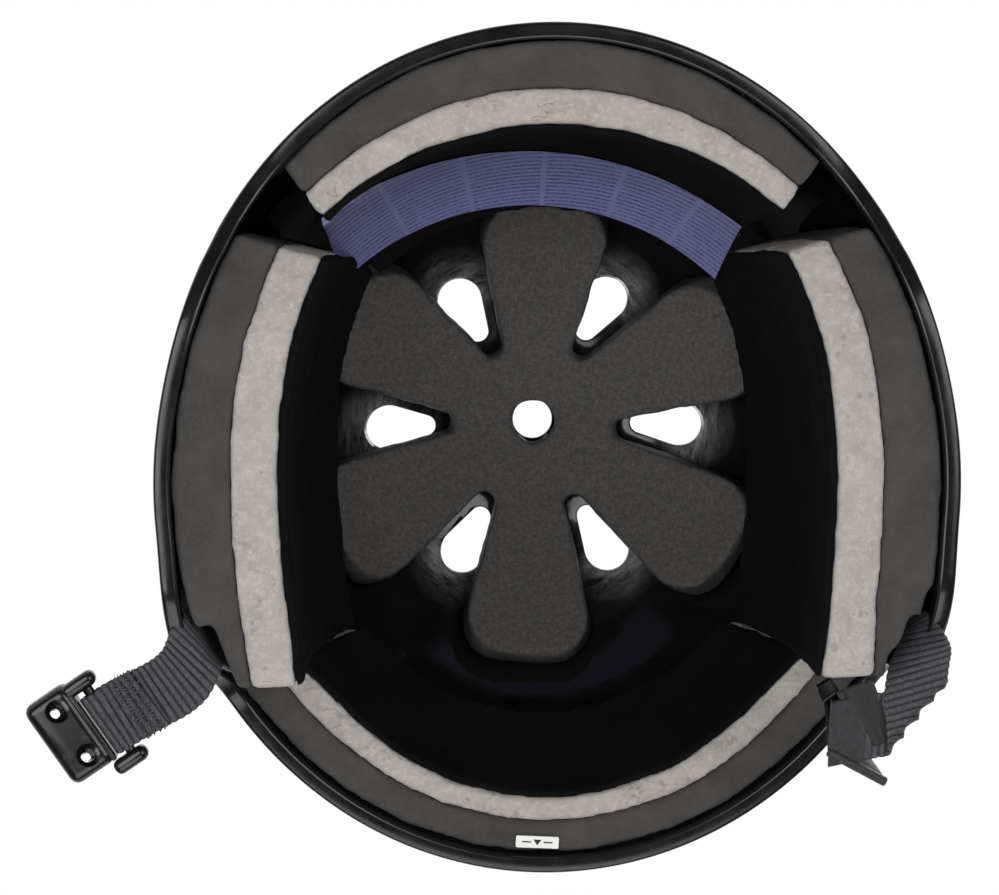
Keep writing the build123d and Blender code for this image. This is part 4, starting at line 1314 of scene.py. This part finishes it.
def window_cutter(place):
    """A press window, as a stack of circles that flares at both faces and leans outwards."""
    bm = bmesh.new()
    rings = []
    for out, aside, up, radius in WINDOW_RINGS:
        matrix = buckle_matrix((place[0] + out, place[1] + aside, up))
        ring = bmesh.ops.create_circle(bm, segments=32, radius=radius * MM, matrix=matrix)["verts"]
        rings.append(list({edge for vertex in ring for edge in vertex.link_edges}))
    for low, high in zip(rings, rings[1:]):
        bmesh.ops.bridge_loops(bm, edges=low + high)
    bmesh.ops.holes_fill(bm, edges=rings[0] + rings[-1])
    bmesh.ops.recalc_face_normals(bm, faces=bm.faces)
    return piece_from("window_cutter", bm)


def make_female_half():
    bm = bmesh.new()
    rounded_box(bm, BOX_MIDDLE, BOX_SIZE, BOX_ROUND, 7)
    bmesh.ops.recalc_face_normals(bm, faces=bm.faces)
    body = cut_with(piece_from("female_half", bm, acetal), socket_cutter(), "DIFFERENCE")
    for place in WINDOWS:
        cut_with(body, window_cutter(place), "DIFFERENCE")
    bm = bmesh.new()
    bm.from_mesh(body.data)
    for ear in EARS:
        rounded_box(bm, ear, EAR_SIZE, EAR_ROUND)
    rounded_box(bm, LIP_MIDDLE, LIP_SIZE, LIP_ROUND, 4)
    lying = Matrix.Rotation(math.radians(90), 4, "X")
    bmesh.ops.create_cone(bm, cap_ends=True, segments=32, radius1=BAR_RADIUS, radius2=BAR_RADIUS,
                          depth=BAR_LENGTH, matrix=buckle_matrix(BUCKLE_BAR) @ lying)
    bmesh.ops.recalc_face_normals(bm, faces=bm.faces)
    bm.to_mesh(body.data)
    bm.free()
    body.data.materials.clear()
    body.data.materials.append(acetal)
    body.data.shade_smooth()
    body.data.set_sharp_from_angle(angle=math.radians(35))
    return body


female = dress(make_female_half(), "female_buckle_body", "buckle", "female_buckle")
print("female half", len(female.data.polygons), "faces")

# %% [markdown]
# ## The label
# A strip of printed film is glued along the rear lining and stands off past its ends. Its two
# long edges are arcs through three places each. Between them the film follows the lining's dome.

# %% Make the label
LABEL_NEAR = ((69.9, 75.3), (0, 94.8), (-62.1, 70.6))
LABEL_FAR = ((65.1, 54.1), (0, 78), (-56.6, 53.2))
LINING_SIDE, LINING_REAR, LINING_TOP = 100.7 * MM, 99.5 * MM, 119.6 * MM
LABEL_THICK = 0.25 * MM
LABEL_STEPS = 120, 16


def arc_through(ends, shares):
    """Places along the circle through three places in plan."""
    (ax, ay), (bx, by), (cx, cy) = np.array(ends) * MM
    middle = np.linalg.solve([[bx - ax, by - ay], [cx - ax, cy - ay]],
                             [(bx**2 + by**2 - ax**2 - ay**2) / 2, (cx**2 + cy**2 - ax**2 - ay**2) / 2])
    radius = math.hypot(ax - middle[0], ay - middle[1])
    start, end = math.atan2(ay - middle[1], ax - middle[0]), math.atan2(cy - middle[1], cx - middle[0])
    turn = start + (end - start) * shares
    return np.stack([middle[0] + radius * np.cos(turn), middle[1] + radius * np.sin(turn)], 1)


def label_place(along, across):
    near, far = arc_through(LABEL_NEAR, along), arc_through(LABEL_FAR, along)
    plan = near + (far - near) * across[:, None]
    share, rise = dome_outline(LINING_TOP, 800)
    reach = np.hypot(plan[:, 0] / LINING_SIDE, plan[:, 1] / LINING_REAR)
    return np.concatenate([plan, np.interp(reach, share[::-1], rise[::-1])[:, None]], 1)


def make_label():
    piece = piece_from("label_film_strip", grid(*LABEL_STEPS, label_place), label_film)
    film = piece.modifiers.new("film", "SOLIDIFY")
    film.thickness, film.offset = LABEL_THICK, 0
    return bake_modifiers(piece)


label = dress(make_label(), "shell_body", "label", "label_strip")
print("label", len(label.data.polygons), "faces")

# %% [markdown]
# The tag is a piece of woven tape on the brow pad's edge. It shows which way is forward with a
# plain pointer, a thin woven mark on its face.

# %% Tag and its pointer
TAG_SHIFT = Vector((1.9, -2.0, -0.75)) * MM
TAG_TURN = Matrix.Rotation(math.radians(3.5), 4, "Z")
TAG_HALF_LENGTH, TAG_HALF_WIDTH, TAG_RISE, TAG_ROUND = 6.9 * MM, 1.9 * MM, 0.8 * MM, 0.5 * MM
POINTER = [(x * MM, y * MM, 0) for x, y in ((-1.3, 0.85), (1.3, 0.85), (0, -1.05))]
MARK_START, MARK_END, MARK_HALF = 2.0 * MM, 4.9 * MM, 0.22 * MM
MARK_RISE = -0.06 * MM


def oblong(start, end, half):
    """A flat outline with four corners."""
    return [(start, -half, 0), (end, -half, 0), (end, half, 0), (start, half, 0)]


def tag_piece(name, finish, bm):
    """Puts what was made about the origin on its place in front of the brow pad's edge."""
    low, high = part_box("front_tag")
    foot = Vector(((low.x + high.x) / 2, (low.y + high.y) / 2, low.z))
    bmesh.ops.transform(bm, matrix=Matrix.Translation(foot + TAG_SHIFT) @ TAG_TURN, verts=bm.verts)
    bmesh.ops.recalc_face_normals(bm, faces=bm.faces)
    return piece_from(name, bm, finish)


def make_tag():
    bm = bmesh.new()
    extruded(bm, oblong(-TAG_HALF_LENGTH, TAG_HALF_LENGTH, TAG_HALF_WIDTH), (0, 0, TAG_RISE))
    upright = [e for e in bm.edges if abs(e.verts[0].co.z - e.verts[1].co.z) > TAG_RISE / 2]
    bmesh.ops.bevel(bm, geom=upright, offset=TAG_ROUND, affect="EDGES", segments=4, profile=0.5, material=-1)
    return tag_piece("front_woven_tag", white_weave, bm)


def make_pointer():
    bm = bmesh.new()
    lines = [oblong(*ends, MARK_HALF) for ends in ((-MARK_END, -MARK_START), (MARK_START, MARK_END))]
    for outline in (POINTER, *lines):
        extruded(bm, outline, (0, 0, MARK_RISE))
    return tag_piece("tag_pointer", black_weave, bm)


dress(make_tag(), "shell_body", "tag", "front_tag")
dress(make_pointer(), "shell_body", "tag")
print("tag and its pointer")

# %% [markdown]
# ## Floor, backdrop and light
# The helmet stands on a pale floor. The photograph looks up from below, so the floor must not be
# seen from there: its back face is clear. It takes the helmet's shadow, and casts none itself.

# %% Floor
FLOOR_HALF, FLOOR_DROP = 4, 0.05 * MM


def floor_finish():
    material, shader, point = new_finish("pale_floor", 0.7)
    grain = speckle(material, point, 40, 4)
    wire(material, shader, Base_Color=blended(material, grain, grey(0.80), grey(0.84)))
    tree = material.node_tree
    behind = tree.nodes.new("ShaderNodeNewGeometry").outputs["Backfacing"]
    clear = tree.nodes.new("ShaderNodeBsdfTransparent")
    mix = tree.nodes.new("ShaderNodeMixShader")
    tree.links.new(behind, mix.inputs[0])
    tree.links.new(shader.outputs[0], mix.inputs[1])
    tree.links.new(clear.outputs[0], mix.inputs[2])
    tree.links.new(mix.outputs[0], tree.nodes["Material Output"].inputs["Surface"])
    return material


def add_floor():
    bm = bmesh.new()
    bmesh.ops.create_grid(bm, x_segments=1, y_segments=1, size=FLOOR_HALF)
    floor = piece_from("floor", bm, floor_finish())
    floor.location.z = -FLOOR_DROP
    floor.visible_shadow = floor.visible_glossy = floor.visible_diffuse = False
    return floor


floor = add_floor()
print("floor", [round(v, 2) for v in floor.dimensions])

# %% [markdown]
# The backdrop is white from a little above the horizon up, and grows darker below it. The
# camera, gloss surfaces and clear ones see it so. The rest of the light that it gives is weak
# and even, so that the helmet isn't flooded.

# %% Backdrop
BACKDROP_RAMP = {"From Min": -0.35, "From Max": 0.1, "To Min": 0.06, "To Max": 1.0}
AMBIENT = 0.25


def set_backdrop():
    world = bpy.data.worlds.new("backdrop")
    bpy.context.scene.world = world
    world.use_nodes = True
    tree = world.node_tree
    tree.nodes.clear()
    parts = tree.nodes.new("ShaderNodeSeparateXYZ")
    tree.links.new(tree.nodes.new("ShaderNodeTexCoord").outputs["Generated"], parts.inputs[0])
    ramp = tree.nodes.new("ShaderNodeMapRange")
    tree.links.new(parts.outputs["Z"], ramp.inputs["Value"])
    for key, value in BACKDROP_RAMP.items():
        ramp.inputs[key].default_value = value
    seen, light = tree.nodes.new("ShaderNodeBackground"), tree.nodes.new("ShaderNodeBackground")
    seen.inputs["Color"].default_value = light.inputs["Color"].default_value = (1, 1, 1, 1)
    tree.links.new(ramp.outputs[0], seen.inputs["Strength"])
    light.inputs["Strength"].default_value = AMBIENT
    rays = tree.nodes.new("ShaderNodeLightPath").outputs
    sees = rays["Is Camera Ray"]
    for kind in ("Is Glossy Ray", "Is Transmission Ray"):
        either = tree.nodes.new("ShaderNodeMath")
        either.operation = "MAXIMUM"
        tree.links.new(sees, either.inputs[0])
        tree.links.new(rays[kind], either.inputs[1])
        sees = either.outputs[0]
    mix = tree.nodes.new("ShaderNodeMixShader")
    for place, output in enumerate((sees, light.outputs[0], seen.outputs[0])):
        tree.links.new(output, mix.inputs[place])
    tree.links.new(mix.outputs[0], tree.nodes.new("ShaderNodeOutputWorld").inputs[0])


set_backdrop()
print("backdrop set")

# %% [markdown]
# Large soft lamps light it at a plain level: three below for the foam, two above for the outside.

# %% Lamps
LAMPS = {
    "low_left": ((0.55, 0.10, -0.95), 0.7, 5.6),
    "low_right": ((-0.60, 0.25, -0.95), 0.7, 4.8),
    "low_front": ((0.05, -0.75, -0.85), 0.7, 3.6),
    "high_left": ((0.9, -0.7, 1.0), 1.1, 12.0),
    "high_right": ((-0.9, 0.5, 1.1), 1.1, 10.0),
}
LAMP_AIM = Vector((0, 0, 80)) * MM
for name, (place, size, power) in LAMPS.items():
    lamp = bpy.data.objects.new(name, bpy.data.lights.new(name, "AREA"))
    bpy.context.scene.collection.objects.link(lamp)
    lamp.data.size, lamp.data.energy = size, power
    lamp.location = place
    lamp.rotation_euler = (LAMP_AIM - Vector(place)).to_track_quat("-Z", "Y").to_euler()
    lamp.visible_camera = False
print(len(LAMPS), "soft lamps")
